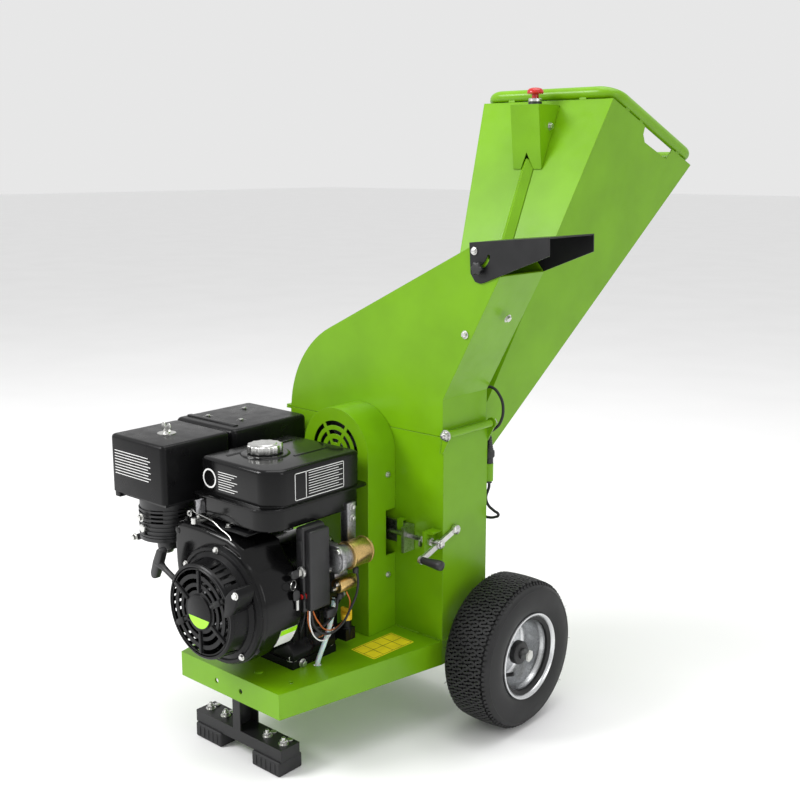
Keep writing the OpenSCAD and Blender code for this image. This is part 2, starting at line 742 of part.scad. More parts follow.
slot_half = 4;
slot_from = slot_angle - slot_back;
slot_to = slot_angle + slot_ahead;
arc_slot = concat(arc(pivot, slot_radius + slot_half, slot_from, slot_to, 16),
    arc(pivot + slot_radius * [cos(slot_to), sin(slot_to)], slot_half, slot_to + 20, slot_to + 160, 6),
    arc(pivot, slot_radius - slot_half, slot_to, slot_from, 16),
    arc(pivot + slot_radius * [cos(slot_from), sin(slot_from)], slot_half, slot_from + 200, slot_from + 340, 6));

module deflector() {
    color(black) placed() difference() {
        union() {
            for (y = plate_ys) prism_xz(deflector_side, y[0], y[1]);
            prism_xz(deflector_top, plate_ys[0][0], plate_ys[1][1]);
        }
        for (y = plate_ys) {
            rod_y(y[0] - 1, y[1] + 1, pivot[0], pivot[1], 3 + fit);
            prism_xz(arc_slot, y[0] - 1, y[1] + 1);
        }
    }
}

module clamp_knob() {
    color(black) placed() difference() {
        union() {
            rod_y(plate_ys[0][0] - 15, plate_ys[0][0] - 5, stud[0], stud[1], 12);
            rod_y(plate_ys[0][0] - 6, plate_ys[0][0] - 0.3, stud[0], stud[1], 7);
        }
        rod_y(plate_ys[0][0] - 10, plate_ys[0][0] + 1, stud[0], stud[1], 3 + fit);
    }
}

// ---- hopper ----

front_dir = unit([mouth_front_y - throat_top[1], mouth_front_z - throat_top[2]]);
rear_dir = unit([mouth_rear_y - throat_low[1], mouth_rear_z - throat_low[2]]);
throat_depth = (mouth_front_y - throat_top[1]) * sin(mouth_tilt) + (mouth_front_z - throat_top[2]) * cos(mouth_tilt);
side_slope = (mouth_half - throat_top[0]) / throat_depth;

// The hopper seen from the side, and seen along the mouth's side edges; more runs both past their ends
function hopper_profile(more) = [
    [mouth_front_y, mouth_front_z] + more * front_dir, [throat_top[1], throat_top[2]] - more * front_dir,
    [throat_low[1], throat_low[2]] - more * rear_dir, [mouth_rear_y, mouth_rear_z] + more * rear_dir];

function hopper_section(more) =
    let (top = mouth_half + side_slope * more, deep = 930, low = mouth_half - side_slope * deep)
    [[-top, more], [-low, -deep], [low, -deep], [top, more]];

module funnel(profile, section) {
    intersection() {
        prism_yz(profile, hopper_x - 300, hopper_x + 300);
        translate([hopper_x, mouth_front_y, mouth_front_z]) rotate([-mouth_tilt, 0, 0])
            prism_xz(section, -900, 900);
    }
}

hand_hole = [[1052, 1340], [1043.5, 1317], [1039, 1283], [1051, 1265], [1158, 1226], [1175, 1244], [1187, 1270],
    [1200, 1300]];

module hopper() {
    color(paint) placed() difference() {
        union() {
            difference() {
                funnel(hopper_profile(0), hopper_section(40));
                funnel(inset(hopper_profile(40), hopper_t), inset(hopper_section(80), hopper_t));
            }
            prism_xz([[hopper_x - 80, 510], [hopper_x + 80, 510], [hopper_x + 80, 647], [hopper_x - 80, 647]],
                housing_back, housing_back + hopper_t);
        }
        prism_xz(inset(throat_points, 1), housing_back - 1, housing_back + hopper_t + 0.5);
        prism_yz(hand_hole, hopper_x - 200, hopper_x + 200);
        for (p = hopper_bolts) rod_y(housing_back - 1, housing_back + hopper_t + 1, p[0], p[1], 4);
        rod_y(mouth_rear_y - 60, mouth_rear_y + 10, hopper_x, mouth_rear_z - 60, 3);
    }
}

rim_r = rim_bar_d / 2;
rim_half = mouth_half - 6;
rim_bend = 42;
rim_lift = 18;

module quarter_bend() {
    rotate_extrude(angle = 90) translate([rim_bend, 0]) circle(rim_r, $fn = 32);
}

module hopper_rim() {
    run_x = rim_half - rim_bend;
    far = mouth_len - 6;
    color(paint) placed() translate([hopper_x, mouth_front_y, mouth_front_z]) rotate([-mouth_tilt, 0, 0]) {
        translate([0, 0, rim_lift]) {
            for (y = [6, far]) rod_x(-run_x, run_x, y, 0, rim_r, $fn = 32);
            for (side = [-1, 1]) rod_y(6 + rim_bend, far - rim_bend, side * rim_half, 0, rim_r, $fn = 32);
            for (c = [[run_x, far - rim_bend, 0], [-run_x, far - rim_bend, 90], [-run_x, 6 + rim_bend, 180],
                [run_x, 6 + rim_bend, 270]])
                translate([c[0], c[1], 0]) rotate([0, 0, c[2]]) quarter_bend();
        }
        for (x = [-100, 100], y = [1.5, mouth_len - 3])
            box([x - 9, y - 1.5, 0.3], [x + 9, y + 1.5, rim_lift - rim_r + 4]);
        for (side = [-1, 1], y = [70, 140, 335])
            box([side * (mouth_half - 2.5) - 1.5, y - 9, 0.3], [side * (mouth_half - 2.5) + 1.5, y + 9, rim_lift - rim_r + 6]);
    }
}

function front_plate_y(z) = mouth_front_y - (mouth_front_z - z) * tan(front_lean);

box_low_z = 1203;
box_front_y = [802, front_plate_y(box_low_z) - 1.5];

module switch_box() {
    outer = [[box_front_y[0], box_top_z], [box_front_y[1] - 1, box_low_z], [front_plate_y(box_low_z) - 0.8, box_low_z],
        [front_plate_y(box_top_z) - 0.8, box_top_z]];
    inner = [[box_front_y[0] + 2, box_top_z - 2], [box_front_y[1] + 1, box_low_z - 1],
        [front_plate_y(box_low_z) + 8, box_low_z - 1], [front_plate_y(box_top_z) + 8, box_top_z - 2]];
    color(paint) placed() difference() {
        prism_yz(outer, box_x - box_half, box_x + box_half);
        prism_yz(inner, box_x - box_half + 2, box_x + box_half - 2);
        prism_xz([[box_x - 18.5, box_low_z - 1], [box_x + 18.5, box_low_z - 1], [box_x, box_low_z + 38]], 700, 850);
        rod_z(box_top_z - 3, box_top_z + 1, box_x, estop_y, 11);
    }
}

module estop_base() {
    color(black) placed() difference() {
        union() {
            rod_z(box_top_z + 0.3, box_top_z + 6, box_x, estop_y, 16);
            rod_z(box_top_z + 6, box_top_z + 14, box_x, estop_y, 15);
            rod_z(box_top_z - 30, box_top_z + 1, box_x, estop_y, 10.5);
        }
        rod_z(box_top_z - 24, box_top_z + 15, box_x, estop_y, 8.2);
    }
}

module estop_button() {
    color("firebrick") placed() {
        rod_z(box_top_z - 16, box_top_z + 30, box_x, estop_y, 8);
        translate([box_x, estop_y, box_top_z + 26]) cylinder(h = 6, r1 = 12, r2 = 19);
        translate([box_x, estop_y, box_top_z + 32]) cylinder(h = 6, r1 = 19, r2 = 14);
    }
}

cover_run = 600;

module cable_cover() {
    start_y = front_plate_y(box_low_z - 2);
    profile = [[-16.5, -0.5], [0, -15], [16.5, -0.5]];
    hollow = [[-13, 1], [0, -12], [13, 1]];
    color(paint) placed() translate([box_x, start_y - 0.8, box_low_z - 2]) rotate([-front_lean, 0, 0])
        translate([0, 0, 22 - cover_run]) difference() {
            linear_extrude(cover_run) polygon(profile);
            translate([0, 0, -1]) linear_extrude(cover_run + 2) polygon(hollow);
        }
}

// Route of the stop switch's cable, from the strip's lower end through the connector to the grommet
cable_upper = [[143, 574.5, 692], [143, 571, 677], [149, 567, 667], [166, 566.5, 676], [190, 569, 704],
    [212, 571, 726], [232, 572, 734], [256, 572, 718], [266, 572, 690], [257, 572, 655], [242, 572, 640],
    [232, 572, 631], [231, 572, 622], [231, 572, 612]];
cable_lower = [[231, 572, 515.8], [231, 572, 507], [228, 572, 497], [223, 572, 480], [228, 573, 464], [244, 574, 453],
    [256, 575, 446], [246, 576, 438], [226, 574, 434], [208, 569, 437], [200, 563, 440], [200, 558, 440],
    [200, 550, 440]];

module cable_connector() {
    color(black) placed() {
        difference() {
            union() {
                rod_z(516, 575, sleeve_at[0], sleeve_at[1], 6.3);
                rod_z(562, 575, sleeve_at[0], sleeve_at[1], 8.5);
                rod_z(575, 592, sleeve_at[0], sleeve_at[1], 11);
                translate([sleeve_at[0], sleeve_at[1], 592]) cylinder(h = 30, r1 = 7.5, r2 = 4.5);
            }
            rod_z(611.8, 640, sleeve_at[0], sleeve_at[1], 3.6);
        }
    }
}

module switch_cable() {
    color(black) placed() {
        swept_tube(smooth_route(cable_upper, 3), 3.2, [0, 1, 0]);
        swept_tube(smooth_route(cable_lower, 3), 3.2, [0.6, 0, 0.8]);
    }
}

// ---- engine ----

module crankcase() {
    color(cast) placed() difference() {
        union() {
            box([-96, 94, deck_top], [94, 219, foot_top]);
            box([-74, 98, foot_top - 1], [78, 240, 400]);
            rod_y(96, 245, 0, crank_z, 97);
            rod_y(245, 262, 0, crank_z, 88);
            rod_y(262, 285, 0, crank_z, 30);
            box([70, 234, 214], [110, 262, 240]);
            rod_z(239, 258, 98, 248, 11);
        }
        rod_y(90, 290, 0, crank_z, crank_r + fit);
        rod_y(130, 215, 0, crank_z, 70);
        for (p = engine_bolts) rod_z(deck_top - 1, foot_top + 1, p[0], p[1], 5);
        for (p = engine_bolts) rod_z(foot_top, foot_top + 30, p[0], p[1], 11);
        rod_z(230, 260, 98, 248, 7.5);
    }
}

fin_start = 99;
fin_count = 9;
fin_pitch = 11.5;

module cylinder_block() {
    difference() {
        translate([-48, -52, fin_start]) cube([96, 104, 116]);
        translate([0, 0, fin_start - 1]) cylinder(h = 90, r = 40);
    }
    for (i = [0 : fin_count - 1]) difference() {
        translate([-62, -66, fin_start + 4 + fin_pitch * i]) cube([124, 132, 3.5]);
        translate([0, 0, fin_start]) cylinder(h = 90, r = 40);
    }
    translate([-58, -62, fin_start + 112]) cube([116, 124, 34]);
    translate([-45, -50, fin_start + 145]) cube([90, 100, 34]);
}

module cylinder_and_head() {
    color([0.42, 0.42, 0.43]) placed() translate([0, 168, crank_z]) rotate([0, -cylinder_lean, 0]) cylinder_block();
}

shroud_y = [-8, 90];
shroud_r = 126;
shroud_points = [[-150, 372], [-128, 345], [0, 320], [118, 345], [104, 412], [66, 466], [-50, 500], [-140, 492],
    [-160, 452]];

module fan_shroud() {
    color(black) placed() difference() {
        union() {
            rod_y(shroud_y[0], shroud_y[1], 0, crank_z, shroud_r);
            prism_xz(shroud_points, shroud_y[0], shroud_y[1]);
        }
        rod_y(shroud_y[0] + 2, shroud_y[1] + 1, 0, crank_z, shroud_r - 2);
        prism_xz(inset(shroud_points, 2), shroud_y[0] + 2, shroud_y[1] + 1);
        rod_y(shroud_y[0] - 1, shroud_y[0] + 3, 0, crank_z, 112);
    }
}

cup_profile = [[0, recoil_y], [88, recoil_y], [96, recoil_y + 6], [101, recoil_y + 40], [112, recoil_y + 46],
    [123, recoil_y + 52], [123, shroud_y[0] - 0.3], [110, shroud_y[0] - 0.3], [110, recoil_y + 50],
    [98, recoil_y + 43], [93, recoil_y + 8], [87, recoil_y + 3], [0, recoil_y + 3]];
recoil_rings = [[44, 51], [59, 68], [77, 86]];

module recoil_cover() {
    color(black) placed() translate([0, 0, crank_z]) difference() {
        union() {
            rotate([-90, 0, 0]) rotate_extrude($fn = 96) polygon(cup_profile);
            rod_y(recoil_y - 1, recoil_y + 4, 0, 0, 37);
            translate([pull_from[0], pull_from[1], pull_from[2] - crank_z]) rotate([0, -66.5, 0])
                translate([0, 0, -24]) cylinder(h = 28, r = 9);
        }
        for (ring = recoil_rings) difference() {
            rod_y(recoil_y - 1, recoil_y + 4, 0, 0, ring[1]);
            rod_y(recoil_y - 2, recoil_y + 5, 0, 0, ring[0]);
            for (a = [30 : 60 : 150]) rotate([0, -a, 0]) cube([200, 400, 13], center = true);
        }
        for (a = [60 : 60 : 300], k = [-1.5 : 1 : 1.5]) rotate([0, -a - 9.5 * k, 0])
            translate([86, recoil_y + 9, -3.2]) cube([16, 28, 6.4]);
        translate([pull_from[0], pull_from[1], pull_from[2] - crank_z]) rotate([0, -66.5, 0])
            translate([0, 0, -30]) cylinder(h = 50, r = 3.2);
    }
}

module recoil_handle() {
    color(black) placed() translate(pull_from) rotate([0, -66.5, 0]) {
        translate([0, 0, -10]) cylinder(h = 18, r = 2.5);
        translate([0, 0, 5]) cylinder(h = 50, r1 = 6, r2 = 9);
        translate([0, 0, 62]) rotate([0, 90, 0]) {
            translate([0, 0, -38]) cylinder(h = 76, r = 10);
            for (z = [-38, 38]) translate([0, 0, z]) sphere(10, $fn = 32);
        }
    }
}

module crankshaft() {
    color(steel) placed() difference() {
        union() {
            rod_y(-34, pulley_y[1] + 6, 0, crank_z, crank_r);
            rod_y(30, 44, 0, crank_z, 106);
            rod_y(44, 74, 0, crank_z, 60);
            rod_y(-30, 31, 0, crank_z, 38);
            translate([0, 0, crank_z]) for (a = [0 : 22.5 : 337.5]) rotate([0, a, 0])
                box([66, 12, -2], [104, 31, 2]);
        }
        rod_y(-31, -8, 0, crank_z, 34);
    }
}

module muffler() {
    color(cast) placed() {
        difference() {
            box([-325, 168, 545], [-158, 352, 636]);
            box([-322, 171, 548], [-161, 349, 633]);
            rod_x(-330, -318, 300, 590, 15);
        }
        difference() {
            rod_x(-346, -325.2, 300, 590, 17);
            rod_x(-350, -320, 300, 590, 15);
        }
        rod_z(512, 544.8, -220, 215, 16);
    }
}

module muffler_guard() {
    color(black) placed() difference() {
        box([-344, 150, 588], [-142, 372, 652]);
        box([-341.5, 152.5, 586], [-144.5, 369.5, 649.5]);
        box([-350, 276, 580], [-340, 324, 612]);
        for (p = [[-292, 200], [-205, 225], [-292, 310]]) rod_z(648, 653, p[0], p[1], 4);
    }
}

module air_filter_base() {
    color(black) placed() {
        difference() {
            union() {
                box([filter_x[0] + 8, filter_y[0] + 8, filter_z[0] - 6], [filter_x[1] - 8, filter_y[1] - 8, filter_z[0] - 1]);
                rod_z(438, filter_z[0] - 5, -222, 30, 58);
                rod_z(432, 440, -222, 30, 60);
            }
            rod_z(444, filter_z[0] - 9, -222, 30, 54);
            for (a = [0 : 60 : 300]) translate([-222, 30, 470]) rotate(a) translate([40, -14, 0]) cube([30, 28, 32]);
        }
        rod_z(filter_z[0] - 2, filter_z[1] + 16, -230, 42, 3);
    }
}

module air_filter_cover() {
    color(black) placed() difference() {
        box([filter_x[0], filter_y[0], filter_z[0]], [filter_x[1], filter_y[1], filter_z[1]]);
        box([filter_x[0] + 2.5, filter_y[0] + 2.5, filter_z[0] - 1], [filter_x[1] - 2.5, filter_y[1] - 2.5, filter_z[1] - 2.5]);
        rod_z(filter_z[1] - 4, filter_z[1] + 1, -230, 42, 3.6);
    }
}

module carburettor() {
    color(steel) placed() {
        box([-144, 58, 497], [-106, 98, 517]);
        box([-138, 97, 490], [-112, 101.5, 514]);
        rod_x(-147, -103, 78, 506, 10);
    }
}

lever_at = [-70, 40, 501];

module throttle_lever() {
    color(steel) placed() translate(lever_at) {
        difference() {
            union() {
                translate([-6, -58, 0]) cube([12, 64, 2.5]);
                cylinder(h = 2.5, r = 12);
                translate([0, -58, 0]) cylinder(h = 12, r = 6);
            }
            translate([0, 0, -1]) cylinder(h = 5, r = 3 + fit);
        }
    }
}

tank_flange = [[-110, 8], [92, 8], [120, 38], [120, 300], [-110, 300]];
tank_body = [[-101, 26], [84, 26], [114, 58], [114, 276], [-101, 276]];
tank_base = [[-96, 22], [80, 22], [106, 50], [106, 286], [-96, 286]];

module tank_level(points, z0, z1) {
    translate([0, 0, z0]) linear_extrude(z1 - z0) polygon(points);
}

module fuel_tank() {
    color(black) placed() difference() {
        union() {
            tank_level(tank_base, tank_zs[0], tank_zs[1]);
            tank_level(tank_flange, tank_zs[1], tank_zs[2]);
            tank_level(tank_body, tank_zs[2], tank_zs[3]);
            rod_z(tank_zs[3] - 1, tank_zs[3] + 10, cap_at[0], cap_at[1], 27);
        }
        tank_level(inset(tank_base, 2), tank_zs[0] + 2, tank_zs[1] + 1);
        tank_level(inset(tank_body, 2), tank_zs[1], tank_zs[3] - 2);
        rod_z(tank_zs[3] - 3, tank_zs[3] + 11, cap_at[0], cap_at[1], 24);
    }
}

module fuel_cap() {
    color(steel) placed() difference() {
        rod_z(tank_zs[3] + 2, tank_zs[3] + 22, cap_at[0], cap_at[1], 37);
        rod_z(tank_zs[3] + 1, tank_zs[3] + 11, cap_at[0], cap_at[1], 27.6);
    }
}

starter_at = [138, 421];
solenoid_at = [126, 356];

module starter_motor() {
    color(gold) placed() {
        rod_y(207, 268, starter_at[0], starter_at[1], 29);
        rod_y(170, 207.1, starter_at[0], starter_at[1], 23);
        box([98, 178, 400], [120, 200, 442]);
        rod_y(188, 246, solenoid_at[0], solenoid_at[1], 16);
        box([100, 200, 340], [112, 232, 372]);
    }
}

module control_box() {
    color(black) placed() difference() {
        box(control_box_low, control_box_high);
        box(control_box_low + [2.5, 2.5, 2.5], control_box_high - [2.5, 2.5, 2.5]);
        rod_y(control_box_low[1] - 1, control_box_low[1] + 4, key_at[0], key_at[1], 6.2);
        rod_y(control_box_low[1] - 1, control_box_low[1] + 4, reset_at[0], reset_at[1], 5.2);
        rod_z(control_box_low[2] - 1, control_box_low[2] + 5, loom_hole[0], loom_hole[1], loom_hole_r);
    }
}

module ignition_key() {
    color(steel) placed() {
        rod_y(control_box_low[1] - 5, control_box_low[1] + 12, key_at[0], key_at[1], 6);
        rod_y(control_box_low[1] - 6, control_box_low[1] - 0.3, key_at[0], key_at[1], 10);
        box([key_at[0] - 1.2, control_box_low[1] - 28, key_at[1] - 6],
            [key_at[0] + 1.2, control_box_low[1] - 5, key_at[1] + 6]);
    }
}

module reset_button() {
    color("firebrick") placed() {
        rod_y(control_box_low[1] - 6, control_box_low[1] + 8, reset_at[0], reset_at[1], 5);
        rod_y(control_box_low[1] + 3.2, control_box_low[1] + 6, reset_at[0], reset_at[1], 7);
    }
}

module dipstick() {
    color("gold") placed() {
        rod_z(233, 262, 98, 248, 7.4);
        rod_z(258.3, 272, 98, 248, 12);
        box([84, 245, 270], [112, 251, 282]);
    }
}

hose_route = [[112, 196, 322], [112, 193, 302], [111, 187, 276], [111, 173, 242], [110, 158, 214],
    [110, 150, 200], [110, 148, 184], [110, 148, 168]];

module drain_hose() {
    color("whitesmoke") placed() swept_tube(smooth_route(hose_route, 3), 5, [1, 0, 0], 10);
}

wires = [
    [[120, 116, 334], [120, 116, 314], [122, 122, 292], [126, 140, 282], [131, 166, 292], [131, 184, 308],
        [128, 190, 322], [126, 200, 337]],
    [[127, 116, 334], [129, 116, 310], [132, 126, 284], [138, 150, 268], [145, 180, 276], [149, 208, 308],
        [147, 232, 344], [142, 236, 378], [138, 236, 389]]
];

module wiring_loom() {
    color(black) placed() for (w = wires) swept_tube(smooth_route(w, 3), 2.6, [1, 0, 0]);
}

deck();
stand();
foot_pads();
frame_bolts();
axle();
rim_right();
tyre_right();
rim_left();
tyre_left();
lower_housing();
scroll_liner();
hinge_bolt();
belt_guard();
rotor_bearings();
bed_knife();
drive_belts();
tension_bracket();
tension_arm();
idler();
tension_crank();
crank_grip();
rotor_shaft();
rotor_disc();
rotor_knives();
rotor_pulley();
crankshaft();
crank_pulley();
upper_housing();
cover_bolts();
deflector();
clamp_knob();
hopper();
hopper_rim();
switch_box();
estop_base();
estop_button();
cable_cover();
cable_connector();
switch_cable();
crankcase();
cylinder_and_head();  // cylinder
fan_shroud();
recoil_cover();
recoil_handle();
muffler();
muffler_guard();
air_filter_base();
air_filter_cover();
carburettor();
throttle_lever();
fuel_tank();
fuel_cap();
starter_motor();
control_box();
ignition_key();
reset_button();
dipstick();
drain_hose();
wiring_loom();
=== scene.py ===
import math
import random

import bmesh
import bpy
from mathutils import Matrix, Vector


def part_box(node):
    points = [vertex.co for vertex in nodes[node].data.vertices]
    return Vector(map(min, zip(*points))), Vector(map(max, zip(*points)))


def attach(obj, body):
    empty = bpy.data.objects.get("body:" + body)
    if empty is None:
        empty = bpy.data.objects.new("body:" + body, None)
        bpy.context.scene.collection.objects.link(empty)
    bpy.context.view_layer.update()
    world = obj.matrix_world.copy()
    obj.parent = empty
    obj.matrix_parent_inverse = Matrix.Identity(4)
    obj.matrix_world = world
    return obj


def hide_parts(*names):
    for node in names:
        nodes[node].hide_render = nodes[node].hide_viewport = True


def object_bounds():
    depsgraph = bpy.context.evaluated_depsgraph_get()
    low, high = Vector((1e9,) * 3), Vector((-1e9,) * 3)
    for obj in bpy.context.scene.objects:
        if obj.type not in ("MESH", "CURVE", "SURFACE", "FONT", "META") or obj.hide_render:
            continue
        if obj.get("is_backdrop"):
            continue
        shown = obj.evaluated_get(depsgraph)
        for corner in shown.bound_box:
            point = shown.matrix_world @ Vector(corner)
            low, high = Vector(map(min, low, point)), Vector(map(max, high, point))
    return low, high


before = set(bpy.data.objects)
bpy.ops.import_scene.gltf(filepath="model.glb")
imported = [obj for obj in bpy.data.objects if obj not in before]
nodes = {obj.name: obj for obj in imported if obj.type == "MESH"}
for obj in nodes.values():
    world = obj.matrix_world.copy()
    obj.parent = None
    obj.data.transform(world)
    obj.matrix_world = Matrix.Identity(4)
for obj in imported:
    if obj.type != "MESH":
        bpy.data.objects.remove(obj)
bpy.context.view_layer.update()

# ----------------------------------------------------------
# Deck: one folded tray of 4 mm steel that everything is bolted to, powder coated lime green.
# The engine bolts straight to it, the housing is welded on at its wide end.
def new_material(name):
    mat = bpy.data.materials.new(name)
    mat.use_nodes = True
    tree = mat.node_tree
    return mat, tree, tree.nodes["Principled BSDF"]


def object_noise(tree, scale, detail=3.0, stretch=None):
    coords = tree.nodes.new("ShaderNodeTexCoord")
    noise = tree.nodes.new("ShaderNodeTexNoise")
    noise.inputs["Scale"].default_value = scale
    noise.inputs["Detail"].default_value = detail
    if stretch:
        mapping = tree.nodes.new("ShaderNodeMapping")
        mapping.inputs["Scale"].default_value = stretch
        tree.links.new(coords.outputs["Object"], mapping.inputs["Vector"])
        tree.links.new(mapping.outputs["Vector"], noise.inputs["Vector"])
    else:
        tree.links.new(coords.outputs["Object"], noise.inputs["Vector"])
    return noise


def ramp(tree, source, stops):
    node = tree.nodes.new("ShaderNodeValToRGB")
    node.color_ramp.elements[0].position, node.color_ramp.elements[0].color = stops[0][0], (*stops[0][1], 1)
    node.color_ramp.elements[1].position, node.color_ramp.elements[1].color = stops[-1][0], (*stops[-1][1], 1)
    for where, colour in stops[1:-1]:
        node.color_ramp.elements.new(where).color = (*colour, 1)
    tree.links.new(source, node.inputs["Fac"])
    return node


def spread(tree, source, low, high):
    node = tree.nodes.new("ShaderNodeMapRange")
    node.inputs["From Min"].default_value = 0.3
    node.inputs["From Max"].default_value = 0.7
    node.inputs["To Min"].default_value = low
    node.inputs["To Max"].default_value = high
    tree.links.new(source, node.inputs["Value"])
    return node


def relief(tree, shader, height, strength, distance):
    bump = tree.nodes.new("ShaderNodeBump")
    bump.inputs["Strength"].default_value = strength
    bump.inputs["Distance"].default_value = distance
    tree.links.new(height, bump.inputs["Height"])
    tree.links.new(bump.outputs["Normal"], shader.inputs["Normal"])
    return bump


def shade(colour, factor):
    return tuple(c * factor for c in colour)


def powder_coat(name, colour, rough, peel=0.08, round_edges=0.0, sheen=0.3):
    # Baked powder paint: an even colour with faint clouding, and the fine ripple of orange peel
    mat, tree, shader = new_material(name)
    cloud = object_noise(tree, 9, 4)
    tint = ramp(tree, cloud.outputs["Fac"], [(0.3, shade(colour, 0.9)), (0.7, shade(colour, 1.07))])
    tree.links.new(tint.outputs["Color"], shader.inputs["Base Color"])
    smear = object_noise(tree, 38, 5)
    tree.links.new(spread(tree, smear.outputs["Fac"], rough * 0.82, rough * 1.2).outputs["Result"],
                   shader.inputs["Roughness"])
    ripple = object_noise(tree, 520, 2)
    bump = relief(tree, shader, ripple.outputs["Fac"], peel, 0.0006)
    if round_edges:
        edge = tree.nodes.new("ShaderNodeBevel")
        edge.samples = 4
        edge.inputs["Radius"].default_value = round_edges
        tree.links.new(edge.outputs["Normal"], bump.inputs["Normal"])
    shader.inputs["Coat Weight"].default_value = 0.06
    shader.inputs["Specular IOR Level"].default_value = sheen
    shader.inputs["Coat Roughness"].default_value = 0.12
    return mat


def finish_with(mat, *names):
    for name in names:
        mesh = nodes[name].data
        mesh.materials.clear()
        mesh.materials.append(mat)


LIME = (0.15, 0.345, 0.002)
green_paint = powder_coat("green_paint", LIME, 0.34, 0.07, 0.0016)
finish_with(green_paint, "deck", "lower_housing", "belt_guard", "tension_bracket", "upper_housing", "hopper",
            "hopper_rim", "switch_box", "cable_cover")

# ----------------------------------------------------------
# Stand: box-section foot bar and open post, welded under the deck and sprayed satin black.
# The deflector at the top of the chute has the same finish.
black_paint = powder_coat("black_paint", (0.012, 0.012, 0.013), 0.36, 0.12, 0.0016)
finish_with(black_paint, "stand", "deflector")

# ----------------------------------------------------------
# Foot pads, belts and cable sheaths: black rubber, moulded or drawn over a cord.
# The pads are bolted under the foot bar; belts and cables lie in their own grooves and clips.
def moulded_rubber(name, colour, rough):
    # Moulded rubber: matt, with a fine grain and a faint bloom
    mat, tree, shader = new_material(name)
    bloom = object_noise(tree, 24, 5)
    tint = ramp(tree, bloom.outputs["Fac"], [(0.35, shade(colour, 0.8)), (0.7, shade(colour, 1.5))])
    tree.links.new(tint.outputs["Color"], shader.inputs["Base Color"])
    tree.links.new(spread(tree, bloom.outputs["Fac"], rough - 0.08, rough + 0.08).outputs["Result"],
                   shader.inputs["Roughness"])
    grain = object_noise(tree, 900, 3)
    relief(tree, shader, grain.outputs["Fac"], 0.25, 0.0004)
    shader.inputs["Specular IOR Level"].default_value = 0.35
    return mat


rubber = moulded_rubber("rubber", (0.018, 0.018, 0.019), 0.62)
finish_with(rubber, "foot_pads", "drive_belts", "switch_cable", "wiring_loom")

# ----------------------------------------------------------
# Bolts, axle, tensioner and other small steel: turned or pressed, then zinc plated.
# The rotor, its knives and the wear plates are bare steel, ground or polished by the chips.
def plated_metal(name, colour, rough, mottle=0.12, grain=(1, 1, 1), scratch=0.06):
    # Plated or turned metal: bright, with cloudy tarnish and fine tool marks
    mat, tree, shader = new_material(name)
    shader.inputs["Metallic"].default_value = 1.0
    cloud = object_noise(tree, 60, 5)
    tint = ramp(tree, cloud.outputs["Fac"], [(0.3, shade(colour, 1 - mottle)), (0.7, shade(colour, 1 + mottle))])
    tree.links.new(tint.outputs["Color"], shader.inputs["Base Color"])
    marks = object_noise(tree, 700, 3, grain)
    tree.links.new(spread(tree, marks.outputs["Fac"], rough * 0.75, rough * 1.3).outputs["Result"],
                   shader.inputs["Roughness"])
    relief(tree, shader, marks.outputs["Fac"], scratch, 0.0003)
    return mat


zinc_plate = plated_metal("zinc_plate", (0.62, 0.62, 0.6), 0.3)
ground_steel = plated_metal("ground_steel", (0.5, 0.5, 0.51), 0.34, 0.15, (1, 0.08, 1), 0.15)
finish_with(zinc_plate, "frame_bolts", "axle", "hinge_bolt", "tension_arm", "tension_crank", "cover_bolts",
            "ignition_key", "throttle_lever", "fuel_cap")
finish_with(ground_steel, "rotor_shaft", "rotor_disc", "rotor_knives", "scroll_liner", "bed_knife", "crankshaft")

# ----------------------------------------------------------
# Rims: two pressed steel halves, sprayed silver and bolted together near the hub.
# The wheel section makes the turned discs that are seen in place of these nodes.
rim_silver = plated_metal("rim_silver", (0.66, 0.67, 0.68), 0.26, 0.05)
finish_with(rim_silver, "rim_right", "rim_left")

# ----------------------------------------------------------
# Bearings and pulleys are cast iron; the cylinder and carburettor are cast light alloy.
# All keep the grain of the mould, and are machined only where they seat.
def cast_metal(name, colour, rough, metallic):
    # Sand-cast metal: grainy skin with darker pits
    mat, tree, shader = new_material(name)
    shader.inputs["Metallic"].default_value = metallic
    skin = object_noise(tree, 260, 6)
    tint = ramp(tree, skin.outputs["Fac"], [(0.35, shade(colour, 0.7)), (0.65, shade(colour, 1.15))])
    tree.links.new(tint.outputs["Color"], shader.inputs["Base Color"])
    tree.links.new(spread(tree, skin.outputs["Fac"], rough + 0.1, rough - 0.05).outputs["Result"],
                   shader.inputs["Roughness"])
    relief(tree, shader, skin.outputs["Fac"], 0.35, 0.0007)
    return mat


cast_iron = cast_metal("cast_iron", (0.06, 0.06, 0.062), 0.5, 0.7)
cast_alloy = cast_metal("cast_alloy", (0.36, 0.36, 0.37), 0.42, 1.0)
finish_with(cast_iron, "rotor_bearings", "idler", "rotor_pulley", "crank_pulley")
finish_with(cast_alloy, "cylinder", "carburettor")

# ----------------------------------------------------------
# Engine covers: pressed steel in glossy or satin black enamel, screwed to the crankcase.
# The muffler behind its guard is bare steel, browned by heat.
engine_enamel = powder_coat("engine_enamel", (0.003, 0.003, 0.0032), 0.16, 0.06, 0.002, 0.22)
engine_satin = powder_coat("engine_satin", (0.005, 0.005, 0.0055), 0.3, 0.2, 0.002, 0.14)
finish_with(engine_enamel, "fuel_tank", "fan_shroud")
finish_with(engine_satin, "crankcase", "recoil_cover", "muffler_guard", "air_filter_cover")
heat_steel = plated_metal("heat_steel", (0.3, 0.27, 0.25), 0.5, 0.25)
finish_with(heat_steel, "muffler")

